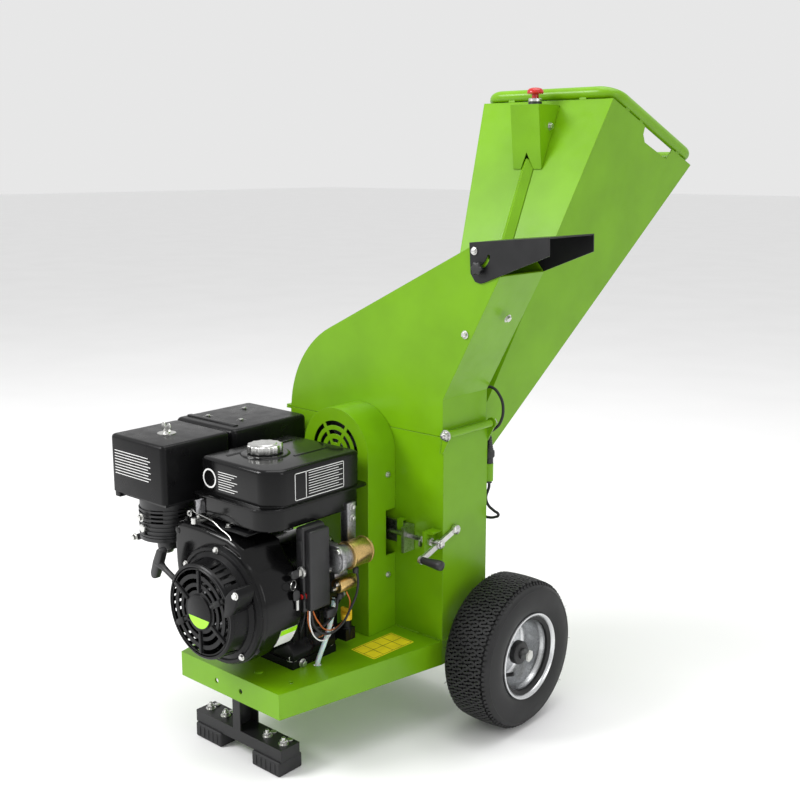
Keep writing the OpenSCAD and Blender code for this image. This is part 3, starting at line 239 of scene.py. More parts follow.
# ----------------------------------------------------------
# Moulded hand pieces: grips, knobs, switches and boxes of injection-moulded plastic.
# They are pushed, screwed or clipped on. The starter is yellow zinc and the drain hose clear.
def moulded_plastic(name, colour, rough, grain=0.15):
    # Injection-moulded plastic: a spark-eroded grain under a soft sheen
    mat, tree, shader = new_material(name)
    cloud = object_noise(tree, 30, 3)
    tint = ramp(tree, cloud.outputs["Fac"], [(0.3, shade(colour, 0.88)), (0.7, shade(colour, 1.12))])
    tree.links.new(tint.outputs["Color"], shader.inputs["Base Color"])
    eroded = object_noise(tree, 1300, 2)
    tree.links.new(spread(tree, eroded.outputs["Fac"], rough * 0.85, rough * 1.15).outputs["Result"],
                   shader.inputs["Roughness"])
    relief(tree, shader, eroded.outputs["Fac"], grain, 0.0003)
    return mat


black_plastic = moulded_plastic("black_plastic", (0.014, 0.014, 0.015), 0.42)
red_plastic = moulded_plastic("red_plastic", (0.42, 0.012, 0.01), 0.25, 0.05)
yellow_plastic = moulded_plastic("yellow_plastic", (0.75, 0.48, 0.02), 0.35, 0.08)
finish_with(black_plastic, "crank_grip", "clamp_knob", "estop_base", "cable_connector", "recoil_handle",
            "air_filter_base", "control_box")
finish_with(red_plastic, "estop_button", "reset_button")
finish_with(yellow_plastic, "dipstick")
yellow_zinc = plated_metal("yellow_zinc", (0.62, 0.43, 0.17), 0.3, 0.2)
finish_with(yellow_zinc, "starter_motor")
clear_hose = moulded_plastic("clear_hose", (0.72, 0.76, 0.76), 0.25, 0.02)
clear_hose.node_tree.nodes["Principled BSDF"].inputs["Subsurface Weight"].default_value = 0.4
finish_with(clear_hose, "drain_hose")

# ----------------------------------------------------------
# Wheels: turf tyres with moulded S blocks and shoulder bars, on pressed silver rims in two halves.
# A bearing hub with a black dust cover runs on the axle; the nut keeps the wheel on.
# Places are in millimetres from the middle of the deck's front edge on the ground.
AXLE = Vector((0, 523, 165))
HALF_TRACK = 327
TREAD_RADIUS = 162
LUGS_ROUND = 44
STUD_CIRCLE = 47.5
axle_low, axle_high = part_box("axle")
ORIGIN = (axle_low + axle_high) / 2 - Vector((0, 0.523, 0.165))
TYRE_SECTION = [(78.5, 38), (78.5, 50), (84, 54), (90, 54.5), (93, 56.5), (97, 56.5), (100, 58.5), (112, 62),
                (125, 63), (138, 61.5), (146, 59.5), (147, 60), (150, 58.5), (154.5, 53), (157, 42), (158.5, 25),
                (159, 0)]


def fresh(bm, before):
    return [v for v in bm.verts if v not in before]


def link_edges(verts):
    return list({e for v in verts for e in v.link_edges})


def round_off(bm, edges, offset, steps=3):
    if edges and offset:
        bmesh.ops.bevel(bm, geom=edges, offset=offset, segments=steps, affect="EDGES", profile=0.5,
                        material=-1, clamp_overlap=True)


def block(bm, low, high, edge=0.0, steps=3):
    # A bar, pad or box between two corners, with its edges rounded
    before = set(bm.verts)
    low, high = Vector(low), Vector(high)
    verts = bmesh.ops.create_cube(bm, size=1)["verts"]
    bmesh.ops.scale(bm, vec=high - low, verts=verts)
    bmesh.ops.translate(bm, vec=(low + high) / 2, verts=verts)
    round_off(bm, link_edges(verts), edge, steps)
    return fresh(bm, before)


def turned(bm, points, at, axis, steps=64):
    # A turned or pressed round piece: (radius, distance along the axis) points spun about the axis
    before = set(bm.verts)
    axis = Vector(axis).normalized()
    across = Vector((0, 0, 1)) if abs(axis.z) < 0.5 else Vector((1, 0, 0))
    verts = [bm.verts.new(Vector(at) + across * r + axis * s) for r, s in points]
    edges = [bm.edges.new(pair) for pair in zip(verts, verts[1:])]
    bmesh.ops.spin(bm, geom=verts + edges, cent=at, axis=axis, angle=math.tau, steps=steps, use_merge=True)
    mine = fresh(bm, before)
    bmesh.ops.remove_doubles(bm, verts=mine, dist=1e-3)
    return fresh(bm, before)


def drum(bm, at, axis, radius, length, edge=0.0, sides=40, far_radius=None):
    # A short round bar or boss standing on a point, its rims rounded
    before = set(bm.verts)
    turn = Vector(axis).to_track_quat("Z", "Y").to_matrix().to_4x4()
    middle = Vector(at) + Vector(axis).normalized() * length / 2
    bmesh.ops.create_cone(bm, cap_ends=True, segments=sides, radius1=radius,
                          radius2=radius if far_radius is None else far_radius, depth=length,
                          matrix=Matrix.Translation(middle) @ turn)
    if edge:
        way = Vector(axis).normalized()
        rims = [e for e in link_edges(fresh(bm, before))
                if abs((e.verts[1].co - e.verts[0].co).normalized().dot(way)) < 0.1]
        round_off(bm, rims, edge, 2)
    return fresh(bm, before)


def bolt_head(bm, at, axis, across, high, washer=True):
    # A hexagon head or nut on its washer
    way = Vector(axis).normalized()
    at = Vector(at)
    if washer:
        drum(bm, at, way, across * 0.78, 1.4, 0.3, 28)
        at = at + way * 1.4
    drum(bm, at, way, across / 1.732, high, min(0.9, high / 5), 6)


def add_piece(name, bm, mat, body, slot, *stands_for, crease=32):
    # Takes a piece made in machine millimetres to its place, and says what it moves with
    bmesh.ops.recalc_face_normals(bm, faces=bm.faces[:])
    bmesh.ops.transform(bm, matrix=Matrix.Translation(ORIGIN) @ Matrix.Scale(0.001, 4), verts=bm.verts[:])
    for face in bm.faces:
        face.smooth = True
    mesh = bpy.data.meshes.new(name)
    bm.to_mesh(mesh)
    bm.free()
    mesh.set_sharp_from_angle(angle=math.radians(crease))
    mesh.materials.append(mat)
    piece = bpy.data.objects.new(name, mesh)
    bpy.context.scene.collection.objects.link(piece)
    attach(piece, body)
    if stands_for:
        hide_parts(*stands_for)
    return piece


def tread_level(u):
    return 159 - 3.2 * (u / 50) ** 2 if abs(u) < 50 else 155.8 - 0.62 * (abs(u) - 50) ** 1.45


def wrap_tread(verts):
    # Bends a flat strip of tread (across, round, height) over the carcass
    for v in verts:
        u, length, height = v.co
        radius, angle = tread_level(u) + height, length / TREAD_RADIUS
        v.co = Vector((u, radius * math.sin(angle), -radius * math.cos(angle)))


def s_block(bm, u0, v0, high):
    # One S of the tread: a strip along two joined half rings, drawn out and tapered
    path = [(6.2 * math.cos(a), 4.3 + 4.1 * math.sin(a)) for a in [math.radians(d)
            for d in (-15, 30, 75, 120, 165, 215, 262)]]
    path += [(-x, -y) for x, y in reversed(path)]
    left, right = [], []
    for i, (x, y) in enumerate(path):
        ahead, behind = path[min(i + 1, len(path) - 1)], path[max(i - 1, 0)]
        side = Vector((behind[1] - ahead[1], ahead[0] - behind[0])).normalized() * 2.5
        left.append(bm.verts.new((u0 + x + side.x, v0 + y + side.y, -0.5)))
        right.append(bm.verts.new((u0 + x - side.x, v0 + y - side.y, -0.5)))
    faces = [bm.faces.new((left[i], left[i + 1], right[i + 1], right[i])) for i in range(len(path) - 1)]
    top = bmesh.ops.extrude_face_region(bm, geom=faces)["geom"]
    bmesh.ops.translate(bm, vec=(0, 0, high + 0.5), verts=[g for g in top if isinstance(g, bmesh.types.BMVert)])


def tyre(name, side, body, node):
    bm = bmesh.new()
    middle = AXLE + Vector((side * HALF_TRACK, 0, 0))
    section = TYRE_SECTION + [(r, -s) for r, s in reversed(TYRE_SECTION[:-1])]
    turned(bm, section, middle, (1, 0, 0), 120)
    carcass = set(bm.verts)
    pitch = math.tau * TREAD_RADIUS / LUGS_ROUND
    for row, u in enumerate((-37.5, -22.5, -7.5, 7.5, 22.5, 37.5)):
        s_block(bm, u, pitch * (0.5 if row % 2 else 0.0), 6)
    for way in (-1, 1):
        for k in range(2):
            bar = block(bm, (47, k * pitch / 2 - 3.6, -1), (60.5, k * pitch / 2 + 3.6, 4.6), 0.9, 1)
            if way < 0:
                bmesh.ops.scale(bm, vec=(-1, 1, 1), verts=bar)
    strip = [v for v in bm.verts if v not in carcass]
    wrap_tread(strip)
    bmesh.ops.translate(bm, vec=middle, verts=strip)
    bmesh.ops.spin(bm, geom=list({f for v in strip for f in v.link_faces} | {e for v in strip
            for e in v.link_edges} | set(strip)),
                   cent=middle, axis=(1, 0, 0), angle=math.tau, steps=LUGS_ROUND, use_duplicate=True)
    random.seed(7 + side)
    for i in range(130):
        angle = random.uniform(0.35, math.tau - 0.35)
        u = random.choice((-1, 1)) * random.uniform(40, 58)
        out = Vector((random.uniform(-0.35, 0.35) + 0.25 * math.copysign(1, u), math.sin(angle), -math.cos(angle)))
        foot = middle + Vector((u, 0, 0)) + Vector((0, math.sin(angle), -math.cos(angle))) * (tread_level(u) + 1)
        drum(bm, foot, out, 0.55, random.uniform(5, 10), 0, 5, 0.25)
    add_piece(name, bm, tyre_rubber, body, "tyre_rubber", node, crease=40)


tyre_rubber = moulded_rubber("tyre_rubber", (0.012, 0.012, 0.0125), 0.55)
tyre("turf_tyre_right", 1, "wheel_right", "tyre_right")
tyre("turf_tyre_left", -1, "wheel_left", "tyre_left")

RIM_SECTION = [(17, -12), (36, -12), (39, -9.5), (57, -9.5), (61, -12.5), (66, -13), (70, -10), (72.5, -4), (73.2, 6),
               (73.5, 28), (74.2, 34), (77.5, 38.5), (78.5, 44), (82.5, 47.5), (85.5, 50), (86.5, 54), (88.8, 58.5),
               (91.8, 60.6), (94.6, 60), (95.4, 57.4), (93.5, 54), (90.5, 51.5), (87.5, 48), (85, 46.5), (80, 44.5),
               (79, 38), (77.5, 30), (76.5, 0), (76.5, -40), (79, -46), (86, -50), (92, -54), (95.4,
                       -57.4), (94.6, -60),
               (91, -60), (87.5, -56), (84, -52), (78, -48), (74, -40), (73.5, -18), (70, -15.5), (60,
                       -15.5), (36, -15),
               (17, -15), (17, -12)]


def rim(name, side, body, node):
    middle = AXLE + Vector((side * HALF_TRACK, 0, 0))
    out = Vector((side, 0, 0))
    bm = bmesh.new()
    turned(bm, RIM_SECTION, middle, out, 96)
    for k in range(4):
        angle = math.radians(45 + 90 * k)
        spot = Vector((0, math.cos(angle), math.sin(angle))) * STUD_CIRCLE
        drum(bm, middle + spot - out * 9.4, out, 10.5, 1.6, 0.4, 28)
    turned(bm, [(16.2, -38), (20, -38), (20, 26), (16.2, 26)], middle, out, 40)
    add_piece(name, bm, rim_silver, body, "rim_silver", node)
    bm = bmesh.new()
    for k in range(4):
        angle = math.radians(45 + 90 * k)
        bolt_head(bm, middle + Vector((0, math.cos(angle), math.sin(angle))) * STUD_CIRCLE - out * 7.8, out, 13,
                7, False)
        drum(bm, middle + Vector((0, math.cos(angle), math.sin(angle))) * STUD_CIRCLE - out * 2, out, 3.6, 6, 0.6, 16)
    add_piece(name + "_bolts", bm, zinc_plate, body, "plated_steel")
    bm = bmesh.new()
    turned(bm, [(10.2, 37), (12.5, 38.5), (16, 38.5), (19, 37), (23.5, 36.5), (25.5, 34), (26, 22), (20, 22),
           (20, 30), (10.2, 30), (10.2, 37)],
           middle, out, 48)
    stem = middle + Vector((0, -48, -48)) * 0.98
    drum(bm, stem + out * 6, Vector((side * 0.9, 0.32, 0.32)), 5.5, 30, 1.5, 20, 3.8)
    drum(bm, stem + out * 6 + Vector((side * 0.9, 0.32, 0.32)).normalized() * 28,
         Vector((side * 0.9, 0.32, 0.32)), 4.2, 12, 1.2, 20)
    add_piece(name + "_hub", bm, black_plastic, body, "rubber")


rim("rim_disc_right", 1, "wheel_right", "rim_right")
rim("rim_disc_left", -1, "wheel_left", "rim_left")

# ----------------------------------------------------------
# Deck label: a yellow plastic film stuck flat on the deck beside the engine.
# It is kept blank, with its cells ruled in black.
label_yellow = moulded_plastic("label_yellow", (0.86, 0.72, 0.02), 0.35, 0.02)
label_black = moulded_plastic("label_black", (0.012, 0.012, 0.012), 0.4, 0.02)
label_white = moulded_plastic("label_white", (0.75, 0.75, 0.74), 0.4, 0.02)
corner_at, long_way, short_way = Vector((113, 246, 193)), Vector((6, 122, 0)) / 122.1, Vector((122, -6, 0)) / 122.1


def stretched(bm, ring, along, corner=0.0, far=0.0, near=0.0, steps=4):
    # A flat outline drawn out along a direction: corner rounds its long edges, far and near its two ends
    before = set(bm.verts)
    along = Vector(along)
    face = bm.faces.new([bm.verts.new(p) for p in ring])
    made = bmesh.ops.extrude_face_region(bm, geom=[face])
    bmesh.ops.translate(bm, vec=along, verts=[g for g in made["geom"] if isinstance(g, bmesh.types.BMVert)])
    way = along.normalized()
    start = Vector(ring[0]).dot(way)
    if corner:
        sides = [e for e in link_edges(fresh(bm, before))
                 if abs((e.verts[1].co - e.verts[0].co).normalized().dot(way)) > 0.999]
        round_off(bm, sides, corner, steps)
    for level, offset in ((start + along.length, far), (start, near)):
        rim = [e for e in link_edges(fresh(bm, before)) if all(abs(v.co.dot(way) - level) < 1e-3 for v in e.verts)]
        round_off(bm, rim, offset, steps)
    return fresh(bm, before)


def label_cell(bm, along, across, length, width, low, high):
    base = corner_at + long_way * along + short_way * across + Vector((0, 0, low))
    ring = [base, base + long_way * length, base + long_way * length + short_way * width, base + short_way * width]
    stretched(bm, ring, (0, 0, high - low), 1.5, 0, 0, 2)


bm = bmesh.new()
label_cell(bm, 0, 0, 122, 70, 0.02, 0.25)
add_piece("deck_label", bm, label_yellow, "frame", "yellow_plastic")
bm = bmesh.new()
for i in range(5):
    label_cell(bm, 3 + 28.7 * i, 3, 1.2, 64, 0.2, 0.32)
for j in (3, 34.4, 65.8):
    label_cell(bm, 3, j, 116, 1.2, 0.2, 0.32)
add_piece("deck_label_rules", bm, label_black, "frame", "black_plastic")

# ----------------------------------------------------------
# Welds: short beads of steel where the housing meets the deck and along its own seams.
# They are laid before the paint, so they carry the same green.
def bead(bm, start, end, radius=2.6):
    start, end = Vector(start), Vector(end)
    count = max(2, int((end - start).length / 3.2))
    for i in range(count + 1):
        spot = start.lerp(end, i / count)
        before = set(bm.verts)
        bmesh.ops.create_icosphere(bm, subdivisions=1, radius=radius * (0.9 + 0.2 * math.sin(i * 2.3)))
        bmesh.ops.translate(bm, vec=spot, verts=fresh(bm, before))


bm = bmesh.new()
for x0, x1 in ((-225, -150), (-60 - 97, -100), (100, 165), (180, 228)):
    bead(bm, (x0, 406, 194), (x1, 406, 194))
for y0, y1 in ((415, 450), (500, 548)):
    for x in (-234, 234):
        bead(bm, (x, y0, 194), (x, y1, 194))
bead(bm, (233.5, 407, 196), (233.5, 407, 225), 1.6)
bead(bm, (227, 403.2, 617), (231, 403.2, 648), 1.8)
bead(bm, (-234, 411, 652.5), (-234, 430, 652.5), 1.4)
bead(bm, (205, 405.6, 398), (205, 405.6, 444), 2.2)
add_piece("weld_beads", bm, green_paint, "frame", "green_paint", crease=80)

# ----------------------------------------------------------
# Foot bar fittings: plated nuts on washers, standing on the bar over their bolts.
# The moulded rubber feet are pushed up under the bar and drawn tight by them.
bm = bmesh.new()
for x in (-115, -66, 66, 115):
    bolt_head(bm, (x, 44, 57.9), (0, 0, 1), 14, 7.5)
    drum(bm, (x, 44, 64), (0, 0, 1), 4, 8, 0.8, 20)
    drum(bm, (x, 62, 57.9), (0, 0, 1), 6.5, 3.5, 1.2, 24)
add_piece("foot_nuts", bm, zinc_plate, "frame", "plated_steel")
for side in (-1, 1):
    bm = bmesh.new()
    block(bm, (side * 90.5 - 41.5, 15, 0), (side * 90.5 + 41.5, 79, 31.8), 3.5, 3)
    for k in range(5):
        x = side * 90.5 - 28 + 14 * k
        block(bm, (x - 2, 13.6, 5), (x + 2, 15.4, 26), 0.6, 1)
    add_piece("foot_block_right" if side > 0 else "foot_block_left", bm, rubber, "frame", "rubber",
              *(("foot_pads",) if side > 0 else ()))

# ----------------------------------------------------------
# Fan shroud: a glossy black pressing round the flywheel, blown out to the upper left to lead the
# cooling air to the cylinder. It is screwed to the crankcase.
CRANK_HEIGHT = 345
SHROUD_RADIUS = 126
bm = bmesh.new()
ring = [Vector((SHROUD_RADIUS * math.cos(a), -8, CRANK_HEIGHT + SHROUD_RADIUS * math.sin(a))) for a in
        [math.radians(-168 + 7.5 * i) for i in range(30)]]
ring += [Vector(p) for p in ((62, -8, 472), (20, -8, 486), (-52, -8, 492), (-118, -8, 492), (-146, -8, 484),
         (-153, -8, 458),
                             (-151, -8, 400), (-145, -8, 352))]
stretched(bm, ring, (0, 99, 0), 0, 2, 11, 5)
turned(bm, [(118, -8.6), (122.5, -9.6), (125, -7), (125.6, -2)], (0, 0, CRANK_HEIGHT), (0, 1, 0), 72)
for x, z in ((-138, 470), (58, 448), (98, 272), (-98, 272)):
    drum(bm, (x, -9.5, z), (0, 1, 0), 8, 6, 1.5, 24)
add_piece("shroud_pressing", bm, engine_enamel, "frame", "engine_black", "fan_shroud", crease=28)

# ----------------------------------------------------------
# Recoil starter: the moulded cover keeps its slots; a plain badge, raised ribs, screws and the
# rope handle are fitted to it.
lime_badge = moulded_plastic("lime_badge", (0.32, 0.72, 0.01), 0.3, 0.02)
bm = bmesh.new()
drum(bm, (0, -66, CRANK_HEIGHT), (0, -1, 0), 36, 3.2, 1.2, 64)
for k in range(6):
    angle = math.radians(30 + 60 * k)
    way = Vector((math.cos(angle), 0, math.sin(angle)))
    side = Vector((-math.sin(angle), 0, math.cos(angle)))
    base = Vector((0, -65, CRANK_HEIGHT))
    ring = [base + way * 40 + side * 3.4, base + way * 40 - side * 3.4, base + way * 87 - side * 4.2,
            base + way * 87 + side * 4.2]
    stretched(bm, ring, (0, -4.2, 0), 1.5, 1.5, 0, 3)
    if k % 3 == 0:
        ring = [base + way * 56 + side * 6.5, base + way * 56 - side * 6.5, base + way * 78 - side * 6.5,
                base + way * 78 + side * 6.5]
        stretched(bm, ring, (0, -6, 0), 2, 1.5, 0, 3)
turned(bm, [(91, -66.4), (94.5, -66.6), (97.5, -64.2), (98.4, -60), (95, -58)], (0, 0, CRANK_HEIGHT), (0, 1, 0), 96)
turned(bm, [(110, -20.5), (113, -22.5), (119, -21.5), (122.8, -16), (123.2, -9.5), (118, -9.5)],
       (0, 0, CRANK_HEIGHT), (0, 1, 0), 96)
ring = [Vector(p) for p in ((74, -67.5, 352), (78, -67.5, 396), (92, -67.5, 412), (112, -67.5, 424),
        (121, -67.5, 408), (108, -67.5, 378), (92, -67.5, 358))]
stretched(bm, ring, (0, 40, 0), 6, 0, 4, 4)
add_piece("starter_ribs", bm, engine_satin, "frame", "engine_black", crease=30)
bm = bmesh.new()
ring = [Vector((33.5 * math.cos(a), -69.05, CRANK_HEIGHT + 33.5 * math.sin(a)))
        for a in [math.radians(200 + 10 * i) for i in range(15)]]
stretched(bm, ring, (0, -0.4, 0), 0, 0.2, 0, 1)
add_piece("starter_badge", bm, lime_badge, "frame", "yellow_plastic")
bm = bmesh.new()
bolt_head(bm, (112, -67.4, 408), (0, -1, 0), 10, 5)
for x, z in ((-96, 410), (-62, 250), (72, 256), (2, 462)):
    bolt_head(bm, (x, -22, z), (0, -1, 0), 9, 4)
add_piece("starter_bolts", bm, zinc_plate, "frame", "plated_steel")


def place(x, y, z):
    return ORIGIN + Vector((x, y, z)) / 1000


def strung(name, points, radius, mat, body, slot, *stands_for):
    # A rope, rod, wire or hose through the points given
    curve = bpy.data.curves.new(name, "CURVE")
    curve.dimensions, curve.bevel_depth, curve.bevel_resolution = "3D", radius / 1000, 3
    curve.resolution_u, curve.use_fill_caps = 6, True
    spline = curve.splines.new("BEZIER")
    spline.bezier_points.add(len(points) - 1)
    for knot, point in zip(spline.bezier_points, points):
        knot.co = place(*point)
        knot.handle_left_type = knot.handle_right_type = "AUTO"
    curve.materials.append(mat)
    piece = bpy.data.objects.new(name, curve)
    bpy.context.scene.collection.objects.link(piece)
    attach(piece, body)
    if stands_for:
        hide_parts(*stands_for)
    return piece


PULL = Vector((-0.91706, 0, 0.398749))
handle_root = Vector((-104, -42, 377))
strung("pull_rope", [handle_root - PULL * 12, handle_root + PULL * 1, handle_root + PULL * 10], 2.3, rubber,
       "recoil_handle", "rubber")
bm = bmesh.new()
drum(bm, handle_root - PULL * 14, PULL, 10, 16, 2.5, 32, 8)
add_piece("rope_guide", bm, engine_satin, "frame", "engine_black")
bm = bmesh.new()
turned(bm, [(2.6, 5), (5.8, 5), (6.4, 8), (6.4, 30), (7.5, 44), (11, 54), (11, 60), (2.6, 60), (2.6, 5)],
       handle_root, PULL, 32)
grip_way = Vector((0.398749, 0, 0.91706))
middle = handle_root + PULL * 62
ring = [middle + grip_way * g + PULL * p for g, p in
        ((-38, -3), (-34, -8), (-14, -9), (14, -9), (34, -8), (38, -3), (38, 4), (30, 10), (0, 12), (-30, 10),
         (-38, 4))]
ring = [p + Vector((0, -9.5, 0)) for p in ring]
stretched(bm, ring, (0, 19, 0), 0, 5, 5, 4)
add_piece("pull_handle", bm, black_plastic, "recoil_handle", "black_plastic", "recoil_handle", crease=45)

# ----------------------------------------------------------
# Fuel tank: two glossy steel pressings seamed at a flange, with a pressed step round the
# filler. It is bolted over the crankcase, and its label is only ruled.
TANK_TOP = [(-101, 27), (84, 27), (114, 57), (114, 277), (-101, 277)]
TANK_FLANGE = [(-110, 10), (92, 10), (121, 39), (121, 299), (-110, 299)]
TANK_LOW = [(-97, 22), (80, 22), (107, 50), (107, 286), (-97, 286)]
bm = bmesh.new()
stretched(bm, [Vector((x, y, 553)) for x, y in TANK_TOP], (0, 0, 76), 12, 9, 0, 5)
stretched(bm, [Vector((x, y, 549)) for x, y in TANK_FLANGE], (0, 0, 5.5), 16, 2, 2, 3)
stretched(bm, [Vector((x, y, 550)) for x, y in TANK_LOW], (0, 0, -47), 20, 14, 0, 5)
turned(bm, [(52, 628.4), (50, 631.5), (46, 632.5), (40, 632), (28, 631), (27, 638), (22, 638)], (-12, 126, 0),
       (0, 0, 1), 72)
stretched(bm, ((-60, 60, 628), (-52, 60, 628), (-52, 244, 628), (-60, 244, 628)), (0, 0, 3), 3, 2.4, 0, 3)
stretched(bm, ((44, 150, 628), (52, 150, 628), (52, 244, 628), (44, 244, 628)), (0, 0, 3), 3, 2.4, 0, 3)
add_piece("tank_pressings", bm, engine_enamel, "frame", "engine_black", "fuel_tank", crease=28)
bm = bmesh.new()
turned(bm, [(17, 0), (20.5, 0), (20.5, -0.35), (17, -0.35), (17, 0)], (-72, 26.95, 586), (0, 1, 0), 56)
for k in range(8):
    block(bm, (-44, 26.6, 604 - 5.2 * k), (14 - 9 * (k % 3), 26.98, 605.3 - 5.2 * k), 0, 1)
for k in range(9):
    block(bm, (113.98, 128, 610 - 5.4 * k), (114.3, 224 - 11 * (k % 2), 611.2 - 5.4 * k), 0, 1)
for low, high in (((113.98, 90, 614.5), (114.3, 228, 616)), ((113.98, 90, 560), (114.3, 228, 561.5)),
                  ((113.98, 90, 560), (114.3, 91.5, 616)), ((113.98, 226.5, 560), (114.3, 228, 616)),
                  ((113.98, 120, 560), (114.3, 121.5, 616))):
    block(bm, low, high, 0, 1)
add_piece("tank_label_rules", bm, label_white, "frame", "white_hose")

# ----------------------------------------------------------
# Filler cap: a zinc-plated pressing with a scalloped edge, turned on by hand.
# It closes on a black rubber seal under its skirt.
bm = bmesh.new()
sides = 12
ring = []
for k in range(sides * 6):
    angle = math.tau * k / (sides * 6)
    ring.append(Vector((-12 + (36.2 + 1.7 * math.cos(sides * angle)) * math.cos(angle),
            126 + (36.2 + 1.7 * math.cos(sides * angle)) * math.sin(angle), 634)))
stretched(bm, ring, (0, 0, 16), 0, 3.5, 1, 3)
turned(bm, [(0, 651.6), (23, 651.6), (25, 650.2), (27, 649.4), (29, 650.3), (30.5, 650.3)], (-12, 126, 0),
       (0, 0, 1), 72)
add_piece("filler_cap", bm, zinc_plate, "fuel_cap", "plated_steel", "fuel_cap", crease=35)
bm = bmesh.new()
turned(bm, [(28.2, 631), (33.5, 631), (33.5, 635), (28.2, 635), (28.2, 631)], (-12, 126, 0), (0, 0, 1), 64)
add_piece("filler_seal", bm, rubber, "fuel_cap", "rubber")

# ----------------------------------------------------------
# Air filter: a black box lid over a slotted round base and its elbow.
# A plated wing nut on the centre stud holds the lid down.
bm = bmesh.new()
stretched(bm, ((-322, -38, 527), (-139, -38, 527), (-139, 140, 527), (-322, 140, 527)), (0, 0, 125), 11, 8, 0, 5)
stretched(bm, ((-318, -34, 514), (-300, -34, 514), (-300, 136, 514), (-318, 136, 514)), (0, 0, 20), 2, 1, 1, 2)
add_piece("filter_lid", bm, engine_satin, "frame", "engine_black", "air_filter_cover", crease=28)
bm = bmesh.new()
for k in range(9):
    block(bm, (-306, -38.35, 618 - 6.2 * k), (-190 + 8 * (k % 2), -37.95, 619.5 - 6.2 * k), 0, 1)
add_piece("filter_label_rules", bm, label_white, "frame", "white_hose")
bm = bmesh.new()
turned(bm, [(0, 652), (20, 652), (20, 653.4), (9, 653.6), (8, 656), (4, 656), (4, 668), (0, 668)], (-230, 42, 0),
       (0, 0, 1), 36)
for side in (-1, 1):
    before = set(bm.verts)
    drum(bm, (0, -1.2, 0), (0, 1, 0), 8, 2.4, 0.6, 24)
    wing = fresh(bm, before)
    bmesh.ops.scale(bm, vec=(0.8, 1, 1.2), verts=wing)
    bmesh.ops.translate(bm, vec=(-230 + side * 9, 42, 666), verts=wing)
add_piece("lid_wing_nut", bm, zinc_plate, "frame", "plated_steel", crease=40)
bm = bmesh.new()
for k in range(7):
    turned(bm, [(57, 500 - 9 * k), (60.5, 500 - 9 * k), (60.5, 496 - 9 * k), (57, 496 - 9 * k),
           (57, 500 - 9 * k)], (-222, 30, 0), (0, 0, 1), 48)
drum(bm, (-222, 30, 404), (0, 0, 1), 24, 30, 3, 40)
drum(bm, (-222, -28, 452), (0, -1, 0), 6, 8, 1, 20)
drum(bm, (-276, 6, 424), (0, -1, 0), 7, 18, 1.5, 20)
add_piece("filter_ribs", bm, black_plastic, "frame", "black_plastic")
bm = bmesh.new()
bolt_head(bm, (-222, -38, 486), (0, -1, 0), 12, 6)
bolt_head(bm, (-280, -14, 424), (0, -1, 0), 11, 7)
drum(bm, (-222, -26, 462), (0, -1, 0), 9, 12, 1, 24)
drum(bm, (-222, 22, 396), (0, 0, 1), 17, 10, 2, 32)
add_piece("filter_bolts", bm, zinc_plate, "frame", "plated_steel")

# ----------------------------------------------------------
# Muffler guard: a pressed steel cover with a raised top, in satin black.
# Three plated screws hold it over the muffler.
bm = bmesh.new()
stretched(bm, ((-344, 150, 596), (-142, 150, 596), (-142, 372, 596), (-344, 372, 596)), (0, 0, 56), 14, 10, 0, 5)
stretched(bm, ((-335, 150.5, 560), (-150, 150.5, 560), (-150, 366, 560), (-335, 366, 560)), (0, 0, 44), 10, 2, 2, 3)
stretched(bm, ((-334, 176, 652), (-168, 176, 652), (-168, 190, 652), (-334, 190, 652)), (0, 0, 3), 4, 2, 0, 3)
add_piece("heat_cover", bm, engine_satin, "frame", "engine_black", "muffler_guard", crease=28)
bm = bmesh.new()
for x, y in ((-292, 205), (-205, 228), (-292, 312)):
    turned(bm, [(11, 652.2), (9, 650.8), (5, 650.6)], (x, y, 0), (0, 0, 1), 28)
    bolt_head(bm, (x, y, 650.5), (0, 0, 1), 9, 4)
add_piece("heat_cover_screws", bm, zinc_plate, "frame", "plated_steel")

# ----------------------------------------------------------
# Engine controls between tank and shroud: plated throttle and governor rods, a wound
# spring, and the pressed bracket that they hang on, screwed to the crankcase.
strung("throttle_rod", [(-131, 20, 500), (-120, 16, 512), (-106, 14, 509), (-88, 12, 508.5), (-50, 6, 508),
       (-34, 3, 507),
                       (-10, 1, 498), (18, 0, 488), (26, -2, 482)], 1.5,
       zinc_plate, "frame", "plated_steel")
strung("governor_rod", [(-136, 30, 470), (-112, 26, 484), (-60, 20, 476), (0, 16, 470), (40, 14, 474)], 1.4,
       zinc_plate, "frame", "plated_steel")
spring_points = []
for k in range(90):
    t = k / 89
    angle = math.tau * 14 * t
    spring_points.append((-60 + 60 * t, 8 + 3.4 * math.cos(angle), 488 - 8 * t + 3.4 * math.sin(angle)))
strung("governor_spring", spring_points, 0.7, zinc_plate, "frame", "plated_steel")
bm = bmesh.new()
block(bm, (-120, 8, 494), (60, 56, 498), 1.2, 2)
block(bm, (-126, 2, 470), (-118, 10, 500), 2, 2)
stretched(bm, ((-96, 0, 490), (10, 0, 478), (12, 0, 484), (-92, 0, 500)), (0, 5, 0), 2, 1, 1, 2)
drum(bm, (-40, 30, 478), (0, 0, 1), 12, 18, 2, 24)
drum(bm, (22, 34, 476), (0, 0, 1), 9, 20, 2, 24)
add_piece("control_bracket", bm, engine_satin, "frame", "engine_black")
bm = bmesh.new()
for x, y, z in ((-100, 18, 498), (-8, 20, 498), (40, 40, 498)):
    bolt_head(bm, (x, y, z), (0, 0, 1), 9, 5)
turned(bm, [(4, 0), (7, 0), (7, 3), (4, 3), (4, 0)], (-131, 18, 500), (0, 1, 0), 24)
add_piece("control_screws", bm, zinc_plate, "frame", "plated_steel")

